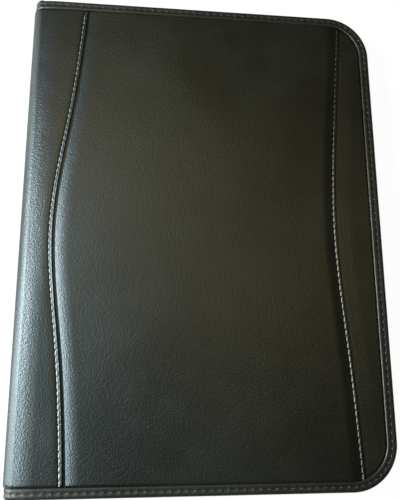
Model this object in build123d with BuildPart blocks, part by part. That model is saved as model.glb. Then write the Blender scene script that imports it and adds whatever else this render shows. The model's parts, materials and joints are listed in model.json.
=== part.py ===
"""Zippered padfolio: a soft-covered document case that zips shut on three sides.

The closed case lies on its back cover. X runs from the spine to the fore-edge,
Y from the tail to the head, and Z from the back cover up to the front cover.
Depths of the cover layers are counted inwards from the outer face of a cover.
"""

import os
from enum import Enum
from math import degrees

from build123d import *

os.makedirs("parts", exist_ok=True)

# Case
COVER_WIDTH = 256.0
COVER_HEIGHT = 350.0
CLOSED_THICKNESS = 27.0
CORNER_RADIUS = 32.0
SPINE_ROUND = 6.5
FOLD_GAP = 0.3

# Layers of a cover, from the outside inwards
PANEL_RISE = 1.0
BINDING_THICK = 0.8
SKIN_THICK = 0.8
BOARD_THICK = 2.0
LINING_THICK = 0.6
TAPE_THICK = 0.6
BINDING_WIDTH = 7.0
BINDING_ROLL = 1.1
EDGE_SEAT = 0.1

# Wavy seams of the front panels: distance from the spine face or from the fore-edge
SPINE_SEAM_HEAD = 38.8
SPINE_SEAM_UPPER = 30.6
SPINE_SEAM_WAIST = 20.9
SPINE_SEAM_LOWER = 29.3
SPINE_SEAM_TAIL = 35.9
SPINE_SEAM_BEND = 87.0
FORE_SEAM_HEAD = 22.7
FORE_SEAM_UPPER = 30.7
FORE_SEAM_WAIST = 34.9
FORE_SEAM_LOWER = 30.0
FORE_SEAM_TAIL = 24.8
FORE_SEAM_BEND = 82.0
HEM_WIDTH = 1.5
HEM_THICK = 0.8
SEAM_LAP = 3.0
GROOVE_WIDTH = 1.6
FORE_ROLL_RUN = 3.0
PANEL_FACE = 1.0
PANEL_ROLL = 1.4
HEM_ROLL = 0.7

# Zip
ZIP_INSET = 4.0
TAPE_TUCK = 1.5
CHAIN_HALF = 1.6
TOOTH_PITCH = 3.0
TOOTH_REACH = 1.0
TOOTH_ROOT = 1.5
TOOTH_TIP = 1.1
TOOTH_THICK = 2.4
STOP_LENGTH = 2.0
STOP_GAP = 1.5
STOP_SPLIT = 0.4
CHAIN_START = 5.0

# Slider and pull
SLIDER_LENGTH = 11.0
SLIDER_PARK = 12.5
SLIDER_SHOULDER = 4.2
SLIDER_TAIL = 3.0
SLIDER_PLATE = 0.9
SLIDER_LIP = 0.8
SLIDER_CORNER = 1.2
CHANNEL_CLEARANCE = 0.4
SLOT_CLEARANCE = 0.3
DIAMOND_LENGTH = 3.6
DIAMOND_HALF = 1.2
BAIL_LENGTH = 8.0
BAIL_WIDTH = 2.2
BAIL_THICK = 1.0
PULL_LENGTH = 26.0
PULL_END_WIDTH = 8.0
PULL_EYE_WIDTH = 6.0
PULL_THICK = 1.4
PULL_CLEARANCE = 0.3
PULL_GRIP_DEPTH = 0.3

# Inside the back cover
PAD_SPINE_GAP = 33.0
PAD_FORE_GAP = 13.0
PAD_HEAD_GAP = 30.0
PAD_TAIL_GAP = 23.0
PAD_CARD_THICK = 0.8
PAD_PAPER_THICK = 5.5
PAD_TAPE_THICK = 0.3
PAD_TAPE_DROP = 18.0
SLOT_PANEL_THICK = 0.8
SLOT_PANEL_RIM = 4.0
SLOT_PANEL_SHORT = 9.0
SLOT_CARD_CLEARANCE = 0.5
PEN_RADIUS = 5.2
PEN_BAND_THICK = 0.8
PEN_LOOP_LENGTH = 26.0
PEN_LOOP_FLANGE = 3.0
PEN_LOOP_HEIGHT_ON_COVER = 30.0
PEN_PAD_GAP = 5.0

# Inside the front cover
POCKET_THICK = 0.8
POCKET_SPINE_GAP = 12.0
POCKET_EDGE_GAP = 2.0
POCKET_MOUTH_SLANT = 35.0
CARD_POCKET_THICK = 0.6
CARD_POCKET_WIDTH = 98.0
CARD_POCKET_HEIGHT = 62.0
CARD_POCKET_STEP = 18.0
CARD_POCKET_GAP = 10.0
CARD_HEAD_GAP = 37.0
CARD_COLUMN_GAP = 8.0
WINDOW_FRAME_WIDTH = 96.0
WINDOW_BORDER = 8.0
WINDOW_FILM_THICK = 0.3
PLATE_CORNER = 4.0

# Derived levels and places
DEPTH_BINDING = PANEL_RISE
DEPTH_SKIN = DEPTH_BINDING + BINDING_THICK
DEPTH_BOARD = DEPTH_SKIN + SKIN_THICK
DEPTH_LINING = DEPTH_BOARD + BOARD_THICK
DEPTH_INSIDE = DEPTH_LINING + LINING_THICK
DEPTH_FLANGE = DEPTH_INSIDE + TAPE_THICK
DEPTH_EDGE = DEPTH_FLANGE + BINDING_THICK
DEPTH_SPINE_EDGE = DEPTH_INSIDE + BINDING_THICK
SPINE_X = -COVER_WIDTH / 2
FORE_X = COVER_WIDTH / 2
FOLD_X = SPINE_X + SPINE_ROUND
HALF_HEIGHT = COVER_HEIGHT / 2
MID_Z = CLOSED_THICKNESS / 2
CHANNEL_INSET = BINDING_THICK + EDGE_SEAT
FIELD_INSET = BINDING_WIDTH + EDGE_SEAT
TAPE_INSET = BINDING_WIDTH + EDGE_SEAT
TRACK_INSET = TAPE_INSET + TAPE_THICK / 2
POCKET_INSET = TAPE_INSET + TAPE_THICK + EDGE_SEAT
ZIP_X = FOLD_X + ZIP_INSET
TRACK_Y = HALF_HEIGHT - TRACK_INSET
FOLD_HALF_GAP = degrees(FOLD_GAP / 2 / SPINE_ROUND)
FOLD_SPAN = 45.0 - FOLD_HALF_GAP


class Side(Enum):
    """Which cover a layer belongs to."""

    BACK = "back"
    FRONT = "front"


SPINE_SEAM = [
    (SPINE_X + SPINE_SEAM_TAIL, -HALF_HEIGHT),
    (SPINE_X + SPINE_SEAM_LOWER, -SPINE_SEAM_BEND),
    (SPINE_X + SPINE_SEAM_WAIST, 0.0),
    (SPINE_X + SPINE_SEAM_UPPER, SPINE_SEAM_BEND),
    (SPINE_X + SPINE_SEAM_HEAD, HALF_HEIGHT),
]
FORE_SEAM = [
    (FORE_X - FORE_SEAM_TAIL, -HALF_HEIGHT),
    (FORE_X - FORE_SEAM_LOWER, -FORE_SEAM_BEND),
    (FORE_X - FORE_SEAM_WAIST, 0.0),
    (FORE_X - FORE_SEAM_UPPER, FORE_SEAM_BEND),
    (FORE_X - FORE_SEAM_HEAD, HALF_HEIGHT),
]


def layer_plane(side, outer, inner):
    """Lower plane of the layer that lies between two depths of a cover.

    Args:
        side: cover that the layer belongs to.
        outer: depth of the layer's outer face.
        inner: depth of the layer's inner face.

    Returns:
        Plane parallel to the cover, from which the layer is extruded upwards.
    """
    if side is Side.BACK:
        return Plane.XY.offset(outer)
    return Plane.XY.offset(CLOSED_THICKNESS - inner)


def cover_outline(inset, left):
    """Plan outline of a cover: square at the spine, rounded at the fore-edge.

    Args:
        inset: distance in from the head, fore-edge and tail.
        left: where the outline ends towards the spine.

    Returns:
        Closed curve in the XY plane.
    """
    right = FORE_X - inset
    top = HALF_HEIGHT - inset
    corners = [(left, -top), (right, -top), (right, top), (left, top)]
    with BuildLine() as outline:
        edge = FilletPolyline(*corners, radius=CORNER_RADIUS - inset)
        Line(edge @ 1, edge @ 0)
    return outline.line


def zip_track():
    """Path of the zip chain round tail, fore-edge and head, in the XY plane."""
    right = FORE_X - TRACK_INSET
    corners = [(ZIP_X, -TRACK_Y), (right, -TRACK_Y), (right, TRACK_Y), (ZIP_X, TRACK_Y)]
    with BuildLine() as track:
        FilletPolyline(*corners, radius=CORNER_RADIUS - TRACK_INSET)
    return track.wires()[0]


def spine_side(seam, shift):
    """Region on the spine's side of a wavy seam.

    Args:
        seam: points of the seam, from the tail to the head.
        shift: how far the seam is moved towards the fore-edge.

    Returns:
        Closed curve in the XY plane.
    """
    points = [(across + shift, height) for across, height in seam]
    with BuildLine() as region:
        wave = Spline(*points)
        Polyline(wave @ 1, (2 * SPINE_X, HALF_HEIGHT), (2 * SPINE_X, -HALF_HEIGHT), wave @ 0)
    return region.line


def fold_outline(side, outer, inner):
    """Section of a cover's half of the rounded fold beside the spine.

    Args:
        side: cover that the fold belongs to.
        outer: depth of the section's outer face.
        inner: depth of the section's inner face.

    Returns:
        Closed curve in the plane of X and Z.
    """
    if side is Side.BACK:
        centre = (FOLD_X, SPINE_ROUND)
        start = 270.0 - FOLD_SPAN
    else:
        centre = (FOLD_X, CLOSED_THICKNESS - SPINE_ROUND)
        start = 90.0
    with BuildLine() as section:
        outside = CenterArc(centre, SPINE_ROUND - outer, start, FOLD_SPAN)
        inside = CenterArc(centre, SPINE_ROUND - inner, start, FOLD_SPAN)
        Line(outside @ 0, inside @ 0)
        Line(outside @ 1, inside @ 1)
    return section.line


def spine_outline(outer, inner):
    """Section of the spine from fold to fold.

    Args:
        outer: depth of the section's outer face.
        inner: depth of the section's inner face.

    Returns:
        Closed curve in the plane of X and Z.
    """
    low = (FOLD_X, SPINE_ROUND)
    high = (FOLD_X, CLOSED_THICKNESS - SPINE_ROUND)
    with BuildLine() as section:
        ends = []
        for depth in (outer, inner):
            upper = CenterArc(high, SPINE_ROUND - depth, 180.0 - FOLD_SPAN, FOLD_SPAN)
            lower = CenterArc(low, SPINE_ROUND - depth, 180.0, FOLD_SPAN)
            Line(upper @ 1, lower @ 0)
            ends.append((upper @ 0, lower @ 1))
        Line(ends[0][0], ends[1][0])
        Line(ends[0][1], ends[1][1])
    return section.line


def plate_outline(left, right, low, high):
    """Outline of a flat plate with rounded corners, by its four sides."""
    corners = [(left, low), (right, low), (right, high), (left, high)]
    with BuildLine() as outline:
        FilletPolyline(*corners, radius=PLATE_CORNER, close=True)
    return outline.line


def finish(part, label):
    """Labels a finished sub-part and writes it to its own file."""
    part.label = label
    export_step(part, f"parts/{label}.step")


# Boards, linings and bindings, alike on both covers

for side in Side:
    with BuildPart() as board:
        with BuildSketch(layer_plane(side, DEPTH_BOARD, DEPTH_LINING)):
            make_face(cover_outline(CHANNEL_INSET, FOLD_X))
        extrude(amount=BOARD_THICK)
    finish(board.part, f"{side.value}_board")

    with BuildPart() as lining:
        with BuildSketch(layer_plane(side, DEPTH_LINING, DEPTH_INSIDE)):
            make_face(cover_outline(CHANNEL_INSET, FOLD_X))
        extrude(amount=LINING_THICK)
    finish(lining.part, f"{side.value}_lining")

    with BuildPart() as binding:
        with BuildSketch(layer_plane(side, DEPTH_BINDING, DEPTH_EDGE)):
            make_face(cover_outline(0.0, FOLD_X))
            make_face(cover_outline(BINDING_WIDTH, FOLD_X), mode=Mode.SUBTRACT)
        extrude(amount=DEPTH_EDGE - DEPTH_BINDING)
        rims = binding.edges().filter_by(Axis.Y).sort_by(Axis.X)[-2:]
        chamfer(rims, BINDING_ROLL)
        with BuildSketch(layer_plane(side, DEPTH_SKIN, DEPTH_FLANGE)):
            make_face(cover_outline(BINDING_THICK, FOLD_X))
        extrude(amount=DEPTH_FLANGE - DEPTH_SKIN, mode=Mode.SUBTRACT)
        with BuildSketch(Plane.XZ.offset(-HALF_HEIGHT)):
            make_face(fold_outline(side, DEPTH_BINDING, DEPTH_SKIN))
        extrude(amount=BINDING_WIDTH)
        with BuildSketch(Plane.XZ.offset(-HALF_HEIGHT)):
            make_face(fold_outline(side, DEPTH_SKIN, DEPTH_BOARD))
        extrude(amount=BINDING_THICK)
        with BuildSketch(Plane.XZ.offset(HALF_HEIGHT)):
            make_face(fold_outline(side, DEPTH_BINDING, DEPTH_SKIN))
        extrude(amount=-BINDING_WIDTH)
        with BuildSketch(Plane.XZ.offset(HALF_HEIGHT)):
            make_face(fold_outline(side, DEPTH_SKIN, DEPTH_BOARD))
        extrude(amount=-BINDING_THICK)
    finish(binding.part, f"{side.value}_binding")


# Outer skins

FIELD_Y = HALF_HEIGHT - FIELD_INSET
MARGIN_Y = HALF_HEIGHT - CHANNEL_INSET

with BuildPart() as back_panel:
    with BuildSketch(layer_plane(Side.BACK, DEPTH_SKIN, DEPTH_BOARD)):
        make_face(cover_outline(CHANNEL_INSET, FOLD_X))
    extrude(amount=SKIN_THICK)
    with BuildSketch(layer_plane(Side.BACK, 0.0, DEPTH_SKIN)):
        make_face(cover_outline(FIELD_INSET, FOLD_X))
    extrude(amount=DEPTH_SKIN)
    with BuildSketch(Plane.XZ.offset(-FIELD_Y)):
        make_face(fold_outline(Side.BACK, 0.0, DEPTH_BOARD))
    extrude(amount=2 * FIELD_Y)
    with BuildSketch(Plane.XZ.offset(-MARGIN_Y)):
        make_face(fold_outline(Side.BACK, DEPTH_SKIN, DEPTH_BOARD))
    extrude(amount=2 * MARGIN_Y)
    rim = back_panel.edges().group_by(Axis.Z)[0].sort_by(Axis.X)[1:]
    chamfer(rim, HEM_ROLL)
finish(back_panel.part, "back_panel")

with BuildPart() as spine_strip:
    with BuildSketch(layer_plane(Side.FRONT, DEPTH_SKIN, DEPTH_BOARD)):
        make_face(cover_outline(CHANNEL_INSET, FOLD_X))
        make_face(spine_side(SPINE_SEAM, -SEAM_LAP), mode=Mode.INTERSECT)
    extrude(amount=SKIN_THICK)
    with BuildSketch(layer_plane(Side.FRONT, 0.0, DEPTH_SKIN)):
        make_face(cover_outline(FIELD_INSET, FOLD_X))
        make_face(spine_side(SPINE_SEAM, HEM_WIDTH), mode=Mode.INTERSECT)
    extrude(amount=DEPTH_SKIN)
    fillet(spine_strip.edges().group_by(Axis.Z)[-1].filter_by(GeomType.BSPLINE), HEM_ROLL)
    with BuildSketch(Plane.XZ.offset(-FIELD_Y)):
        make_face(fold_outline(Side.FRONT, 0.0, DEPTH_BOARD))
    extrude(amount=2 * FIELD_Y)
    with BuildSketch(Plane.XZ.offset(-MARGIN_Y)):
        make_face(fold_outline(Side.FRONT, DEPTH_SKIN, DEPTH_BOARD))
    extrude(amount=2 * MARGIN_Y)
finish(spine_strip.part, "front_spine_strip")

FIELD_START = HEM_WIDTH + GROOVE_WIDTH

with BuildPart() as padding:
    with BuildSketch(layer_plane(Side.FRONT, PANEL_FACE, DEPTH_BOARD)):
        make_face(cover_outline(FIELD_INSET + PANEL_FACE, FOLD_X))
        make_face(spine_side(FORE_SEAM, -FORE_ROLL_RUN - PANEL_FACE), mode=Mode.INTERSECT)
        make_face(spine_side(SPINE_SEAM, FIELD_START + PANEL_FACE), mode=Mode.SUBTRACT)
    extrude(amount=DEPTH_BOARD - PANEL_FACE)
finish(padding.part, "front_padding")

with BuildPart() as main_panel:
    with BuildSketch(layer_plane(Side.FRONT, 0.0, DEPTH_BOARD)):
        make_face(cover_outline(FIELD_INSET, FOLD_X))
        make_face(spine_side(FORE_SEAM, -FORE_ROLL_RUN), mode=Mode.INTERSECT)
        make_face(spine_side(SPINE_SEAM, FIELD_START), mode=Mode.SUBTRACT)
    extrude(amount=DEPTH_BOARD)
    fillet(main_panel.edges().group_by(Axis.Z)[-1].filter_by(GeomType.BSPLINE), PANEL_ROLL)
    with BuildSketch(layer_plane(Side.FRONT, DEPTH_SKIN, DEPTH_BOARD)):
        make_face(cover_outline(CHANNEL_INSET, FOLD_X))
        make_face(spine_side(FORE_SEAM, -SEAM_LAP), mode=Mode.INTERSECT)
        make_face(spine_side(SPINE_SEAM, -SEAM_LAP), mode=Mode.SUBTRACT)
    extrude(amount=SKIN_THICK)
    with BuildSketch(layer_plane(Side.FRONT, DEPTH_SKIN - HEM_THICK, DEPTH_SKIN)):
        make_face(cover_outline(FIELD_INSET, FOLD_X))
        make_face(spine_side(FORE_SEAM, HEM_WIDTH), mode=Mode.INTERSECT)
        make_face(spine_side(FORE_SEAM, -FORE_ROLL_RUN - SEAM_LAP), mode=Mode.SUBTRACT)
    extrude(amount=HEM_THICK)
    add(padding.part, mode=Mode.SUBTRACT)
finish(main_panel.part, "front_main_panel")

with BuildPart() as edge_strip:
    with BuildSketch(layer_plane(Side.FRONT, DEPTH_SKIN, DEPTH_BOARD)):
        make_face(cover_outline(CHANNEL_INSET, FOLD_X))
        make_face(spine_side(FORE_SEAM, -SEAM_LAP), mode=Mode.SUBTRACT)
    extrude(amount=SKIN_THICK)
finish(edge_strip.part, "front_edge_strip")


# Spine

SPINE_FLAT_LOW = SPINE_ROUND
SPINE_FLAT = CLOSED_THICKNESS - 2 * SPINE_ROUND

with BuildPart() as spine_panel:
    with BuildSketch(Plane.XZ.offset(-FIELD_Y)):
        make_face(spine_outline(0.0, DEPTH_BOARD))
    extrude(amount=2 * FIELD_Y)
    with BuildSketch(Plane.XZ.offset(-MARGIN_Y)):
        make_face(spine_outline(DEPTH_SKIN, DEPTH_BOARD))
    extrude(amount=2 * MARGIN_Y)
finish(spine_panel.part, "spine_panel")

with BuildPart() as spine_board:
    with BuildSketch(Plane.YZ.offset(SPINE_X + DEPTH_BOARD)):
        with Locations((0, MID_Z)):
            Rectangle(2 * MARGIN_Y, SPINE_FLAT)
    extrude(amount=BOARD_THICK)
finish(spine_board.part, "spine_board")

with BuildPart() as spine_lining:
    with BuildSketch(Plane.YZ.offset(SPINE_X + DEPTH_LINING)):
        with Locations((0, MID_Z)):
            Rectangle(2 * MARGIN_Y, SPINE_FLAT)
    extrude(amount=LINING_THICK)
finish(spine_lining.part, "spine_lining")

for end, name in ((1, "spine_head_binding"), (-1, "spine_tail_binding")):
    with BuildPart() as spine_binding:
        with BuildSketch(Plane.XZ.offset(-end * HALF_HEIGHT)):
            make_face(spine_outline(DEPTH_BINDING, DEPTH_SKIN))
        extrude(amount=end * BINDING_WIDTH)
        with BuildSketch(Plane.XZ.offset(-end * HALF_HEIGHT)):
            make_face(spine_outline(DEPTH_SKIN, DEPTH_BOARD))
            with Locations((SPINE_X + (DEPTH_BOARD + DEPTH_SPINE_EDGE) / 2, MID_Z)):
                Rectangle(DEPTH_SPINE_EDGE - DEPTH_BOARD, SPINE_FLAT)
        extrude(amount=end * BINDING_THICK)
        with BuildSketch(Plane.XZ.offset(-end * HALF_HEIGHT)):
            with Locations((SPINE_X + DEPTH_INSIDE + BINDING_THICK / 2, MID_Z)):
                Rectangle(BINDING_THICK, SPINE_FLAT)
        extrude(amount=end * BINDING_WIDTH)
    finish(spine_binding.part, name)


# Zip tapes, teeth and stops

TRACK = zip_track()
HEAD_STOP_X = ZIP_X + STOP_GAP
SLIDER_X = ZIP_X + SLIDER_PARK
CHAIN_END_X = SLIDER_X + SLIDER_LENGTH / 2 + STOP_GAP
CHAIN_LENGTH = TRACK.length - CHAIN_START - (CHAIN_END_X - ZIP_X)
TOOTH_COUNT = int(CHAIN_LENGTH / TOOTH_PITCH)

for side, up in ((Side.BACK, 1), (Side.FRONT, -1)):
    with BuildPart() as tape:
        with BuildSketch(layer_plane(side, DEPTH_INSIDE, DEPTH_FLANGE)):
            make_face(cover_outline(TAPE_TUCK, ZIP_X))
            make_face(cover_outline(TAPE_INSET + TAPE_THICK, ZIP_X), mode=Mode.SUBTRACT)
        extrude(amount=TAPE_THICK)
        with BuildSketch(layer_plane(side, DEPTH_INSIDE, MID_Z - CHAIN_HALF)):
            make_face(cover_outline(TAPE_INSET, ZIP_X))
            make_face(cover_outline(TAPE_INSET + TAPE_THICK, ZIP_X), mode=Mode.SUBTRACT)
        extrude(amount=MID_Z - CHAIN_HALF - DEPTH_INSIDE)
    finish(tape.part, f"zip_tape_{side.value}")

    # A tooth stands on the tape's edge, drawn with the track along its local Z
    with BuildPart() as tooth:
        with BuildSketch(Plane.XZ):
            with BuildLine():
                Polyline(
                    (-up * CHAIN_HALF, TOOTH_ROOT / 2),
                    (up * TOOTH_REACH, TOOTH_TIP / 2),
                    (up * TOOTH_REACH, -TOOTH_TIP / 2),
                    (-up * CHAIN_HALF, -TOOTH_ROOT / 2),
                    close=True,
                )
            make_face()
        extrude(amount=TOOTH_THICK / 2, both=True)
    phase = 0.0 if side is Side.BACK else TOOTH_PITCH / 2
    places = []
    for number in range(TOOTH_COUNT):
        run = CHAIN_START + phase + number * TOOTH_PITCH
        place = TRACK.location_at(run, PositionMode.LENGTH, x_dir=(0, 0, 1))
        places.append(Location((0, 0, MID_Z)) * place)
    teeth = Compound([tooth.part.solid().moved(place) for place in places])
    finish(teeth, f"zip_teeth_{side.value}")

    with BuildPart() as stop:
        with BuildSketch(Plane.XZ.offset(-TRACK_Y)):
            with Locations((HEAD_STOP_X + STOP_LENGTH / 2, MID_Z - up * (CHAIN_HALF + STOP_SPLIT) / 2)):
                Rectangle(STOP_LENGTH, CHAIN_HALF - STOP_SPLIT)
        extrude(amount=TOOTH_THICK / 2, both=True)
    finish(stop.part, f"zip_stop_{side.value}")

with BuildPart() as bottom_stop:
    with BuildSketch(Plane.XZ.offset(TRACK_Y)):
        with Locations((HEAD_STOP_X + STOP_LENGTH / 2, MID_Z - STOP_SPLIT / 2)):
            Rectangle(STOP_LENGTH, 2 * CHAIN_HALF - STOP_SPLIT)
    extrude(amount=TOOTH_THICK / 2, both=True)
finish(bottom_stop.part, "zip_bottom_stop")


# Slider, bail and pull tab, drawn in the plane of the tape on the head side

CHANNEL_HALF = TOOTH_THICK / 2 + CHANNEL_CLEARANCE
PLATE_OUT = CHANNEL_HALF + SLIDER_PLATE
SLOT_HALF = TAPE_THICK / 2 + SLOT_CLEARANCE
PULL_BAR_Y = TRACK_Y + PLATE_OUT + PULL_CLEARANCE + PULL_THICK / 2
BAIL_CLEAR = PULL_THICK + 2 * PULL_CLEARANCE


def slider_outline(inset, corner):
    """Face of the slider: broad at the throat, narrow behind.

    Args:
        inset: how far the long sides are drawn in.
        corner: radius of the corners.

    Returns:
        Closed curve in the plane of X and Z.
    """
    front = SLIDER_X - SLIDER_LENGTH / 2
    back = SLIDER_X + SLIDER_LENGTH / 2
    shoulder = SLIDER_SHOULDER - inset
    tail = SLIDER_TAIL - inset
    with BuildLine() as outline:
        FilletPolyline(
            (front, MID_Z - shoulder),
            (SLIDER_X - SLIDER_LENGTH / 6, MID_Z - shoulder),
            (SLIDER_X + SLIDER_LENGTH / 6, MID_Z - tail),
            (back, MID_Z - tail),
            (back, MID_Z + tail),
            (SLIDER_X + SLIDER_LENGTH / 6, MID_Z + tail),
            (SLIDER_X - SLIDER_LENGTH / 6, MID_Z + shoulder),
            (front, MID_Z + shoulder),
            radius=corner,
            close=True,
        )
    return outline.line


with BuildPart() as slider:
    with BuildSketch(Plane.XZ.offset(-TRACK_Y)):
        make_face(slider_outline(0.0, SLIDER_CORNER))
    extrude(amount=PLATE_OUT, both=True)
    with BuildSketch(Plane.XZ.offset(-TRACK_Y)):
        make_face(slider_outline(SLIDER_LIP, 0.0))
    extrude(amount=CHANNEL_HALF, both=True, mode=Mode.SUBTRACT)
    with BuildSketch(Plane.XZ.offset(-TRACK_Y)):
        make_face(slider_outline(0.0, 0.0))
    extrude(amount=SLOT_HALF, both=True, mode=Mode.SUBTRACT)
    throat = SLIDER_X - SLIDER_LENGTH / 2
    with BuildSketch(Plane.XZ.offset(-TRACK_Y)):
        with BuildLine():
            Polyline(
                (throat, MID_Z),
                (throat + DIAMOND_LENGTH / 3, MID_Z + DIAMOND_HALF),
                (throat + DIAMOND_LENGTH, MID_Z),
                (throat + DIAMOND_LENGTH / 3, MID_Z - DIAMOND_HALF),
                close=True,
            )
        make_face()
    extrude(amount=CHANNEL_HALF + SLIDER_PLATE / 2, both=True)
finish(slider.part, "zip_slider")

with BuildPart() as bail:
    with BuildSketch(Plane.XY.offset(MID_Z)):
        base = TRACK_Y + PLATE_OUT
        reach = BAIL_LENGTH / 2
        with BuildLine():
            FilletPolyline(
                (SLIDER_X - reach, base),
                (SLIDER_X - reach, base + BAIL_CLEAR + BAIL_THICK),
                (SLIDER_X + reach, base + BAIL_CLEAR + BAIL_THICK),
                (SLIDER_X + reach, base),
                radius=2 * BAIL_THICK,
            )
            FilletPolyline(
                (SLIDER_X - reach + BAIL_THICK, base),
                (SLIDER_X - reach + BAIL_THICK, base + BAIL_CLEAR),
                (SLIDER_X + reach - BAIL_THICK, base + BAIL_CLEAR),
                (SLIDER_X + reach - BAIL_THICK, base),
                radius=BAIL_THICK,
            )
            Line((SLIDER_X - reach, base), (SLIDER_X - reach + BAIL_THICK, base))
            Line((SLIDER_X + reach - BAIL_THICK, base), (SLIDER_X + reach, base))
        make_face()
    extrude(amount=BAIL_WIDTH / 2, both=True)
finish(bail.part, "slider_bail")

EYE_NEAR = PULL_THICK / 2
EYE_FAR = BAIL_LENGTH / 2 + 2 * PULL_CLEARANCE
EYE_WIDTH = BAIL_WIDTH + 4 * PULL_CLEARANCE

with BuildPart() as pull:
    with BuildSketch(Plane.XZ.offset(-PULL_BAR_Y)):
        end_radius = PULL_END_WIDTH / 2
        with Locations((SLIDER_X + PULL_LENGTH - end_radius, MID_Z)):
            Circle(end_radius)
        with Locations((SLIDER_X + EYE_FAR / 2, MID_Z)):
            Rectangle(EYE_FAR, PULL_EYE_WIDTH)
        make_hull()
    extrude(amount=PULL_THICK / 2, both=True)
    with BuildSketch(Plane.XY.offset(MID_Z)):
        with Locations((SLIDER_X, PULL_BAR_Y)):
            Circle(PULL_THICK / 2)
    extrude(amount=PULL_EYE_WIDTH / 2, both=True)
    with BuildSketch(Plane.XZ.offset(-PULL_BAR_Y)):
        with Locations((SLIDER_X + (EYE_NEAR + EYE_FAR) / 2, MID_Z)):
            Rectangle(EYE_FAR - EYE_NEAR, EYE_WIDTH)
    extrude(amount=PULL_THICK, both=True, mode=Mode.SUBTRACT)
    grip = PULL_LENGTH - 2 * end_radius - EYE_FAR
    for face in (1, -1):
        with BuildSketch(Plane.XZ.offset(-PULL_BAR_Y - face * PULL_THICK / 2)):
            with Locations((SLIDER_X + EYE_FAR + end_radius / 2 + grip / 2, MID_Z)):
                SlotOverall(grip + end_radius / 2, end_radius)
        extrude(amount=face * PULL_GRIP_DEPTH, mode=Mode.SUBTRACT)
finish(pull.part, "pull_tab")


# Inside the back cover: pad slot, writing pad and pen loop

PAD_LEFT = SPINE_X + PAD_SPINE_GAP
PAD_RIGHT = FORE_X - PAD_FORE_GAP
PAD_HEAD = HALF_HEIGHT - PAD_HEAD_GAP
PAD_TAIL = -HALF_HEIGHT + PAD_TAIL_GAP
PAD_WIDTH = PAD_RIGHT - PAD_LEFT
PAD_HEIGHT = PAD_HEAD - PAD_TAIL
PAD_CENTRE = ((PAD_LEFT + PAD_RIGHT) / 2, (PAD_HEAD + PAD_TAIL) / 2)
CARD_TOP = DEPTH_INSIDE + PAD_CARD_THICK
PAPER_LOW = CARD_TOP + SLOT_PANEL_THICK
PAPER_TOP = PAPER_LOW + PAD_PAPER_THICK
SLOT_LEFT = PAD_LEFT - SLOT_CARD_CLEARANCE
SLOT_RIGHT = PAD_RIGHT + SLOT_CARD_CLEARANCE
SLOT_TAIL = PAD_TAIL - SLOT_CARD_CLEARANCE
SLOT_HEAD = PAD_HEAD - SLOT_PANEL_SHORT

with BuildPart() as slot_panel:
    with BuildSketch(Plane.XY.offset(DEPTH_INSIDE)):
        make_face(
            plate_outline(
                SLOT_LEFT - SLOT_PANEL_RIM,
                SLOT_RIGHT + SLOT_PANEL_RIM,
                SLOT_TAIL - SLOT_PANEL_RIM,
                SLOT_HEAD,
            )
        )
        make_face(cover_outline(POCKET_INSET, FOLD_X), mode=Mode.INTERSECT)
    extrude(amount=PAPER_LOW - DEPTH_INSIDE)
    with BuildSketch(Plane.XY.offset(DEPTH_INSIDE)):
        with Locations(((SLOT_LEFT + SLOT_RIGHT) / 2, SLOT_TAIL)):
            Rectangle(SLOT_RIGHT - SLOT_LEFT, PAD_HEIGHT, align=(Align.CENTER, Align.MIN))
    extrude(amount=PAD_CARD_THICK, mode=Mode.SUBTRACT)
finish(slot_panel.part, "pad_slot_panel")

with BuildPart() as pad_card:
    with BuildSketch(Plane.XY.offset(DEPTH_INSIDE)):
        with Locations(PAD_CENTRE):
            Rectangle(PAD_WIDTH, PAD_HEIGHT)
    extrude(amount=PAD_CARD_THICK)
finish(pad_card.part, "pad_backing")

with BuildPart() as pad_sheets:
    with BuildSketch(Plane.XY.offset(PAPER_LOW)):
        with Locations(PAD_CENTRE):
            Rectangle(PAD_WIDTH, PAD_HEIGHT)
    extrude(amount=PAD_PAPER_THICK)
finish(pad_sheets.part, "writing_pad_sheets")

with BuildPart() as pad_tape:
    with BuildSketch(Plane.YZ.offset(PAD_LEFT)):
        with BuildLine():
            Polyline(
                (PAD_HEAD, DEPTH_INSIDE),
                (PAD_HEAD + PAD_TAPE_THICK, DEPTH_INSIDE),
                (PAD_HEAD + PAD_TAPE_THICK, PAPER_TOP + PAD_TAPE_THICK),
                (PAD_HEAD - PAD_TAPE_DROP, PAPER_TOP + PAD_TAPE_THICK),
                (PAD_HEAD - PAD_TAPE_DROP, PAPER_TOP),
                (PAD_HEAD, PAPER_TOP),
                close=True,
            )
        make_face()
    extrude(amount=PAD_WIDTH)
finish(pad_tape.part, "pad_head_tape")

LOOP_OUTER = PEN_RADIUS + PEN_BAND_THICK
LOOP_X = SLOT_LEFT - SLOT_PANEL_RIM - PEN_PAD_GAP - LOOP_OUTER
LOOP_LOW = PEN_LOOP_HEIGHT_ON_COVER - PEN_LOOP_LENGTH / 2

with BuildPart() as pen_loop:
    with BuildSketch(Plane.XZ.offset(-LOOP_LOW)):
        bottom = DEPTH_INSIDE + PEN_BAND_THICK + PEN_RADIUS
        with Locations((LOOP_X, bottom)):
            Circle(LOOP_OUTER)
        with Locations((LOOP_X, DEPTH_INSIDE)):
            Rectangle(2 * LOOP_OUTER, bottom - DEPTH_INSIDE, align=(Align.CENTER, Align.MIN))
        with Locations((LOOP_X + LOOP_OUTER, DEPTH_INSIDE)):
            Rectangle(PEN_LOOP_FLANGE, PEN_BAND_THICK, align=(Align.MIN, Align.MIN))
        with Locations((LOOP_X, bottom)):
            Circle(PEN_RADIUS, mode=Mode.SUBTRACT)
        with Locations((LOOP_X, DEPTH_INSIDE + PEN_BAND_THICK)):
            Rectangle(2 * PEN_RADIUS, PEN_RADIUS, align=(Align.CENTER, Align.MIN), mode=Mode.SUBTRACT)
    extrude(amount=-PEN_LOOP_LENGTH)
finish(pen_loop.part, "pen_loop")


# Inside the front cover: document pocket, card pockets and card window

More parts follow.
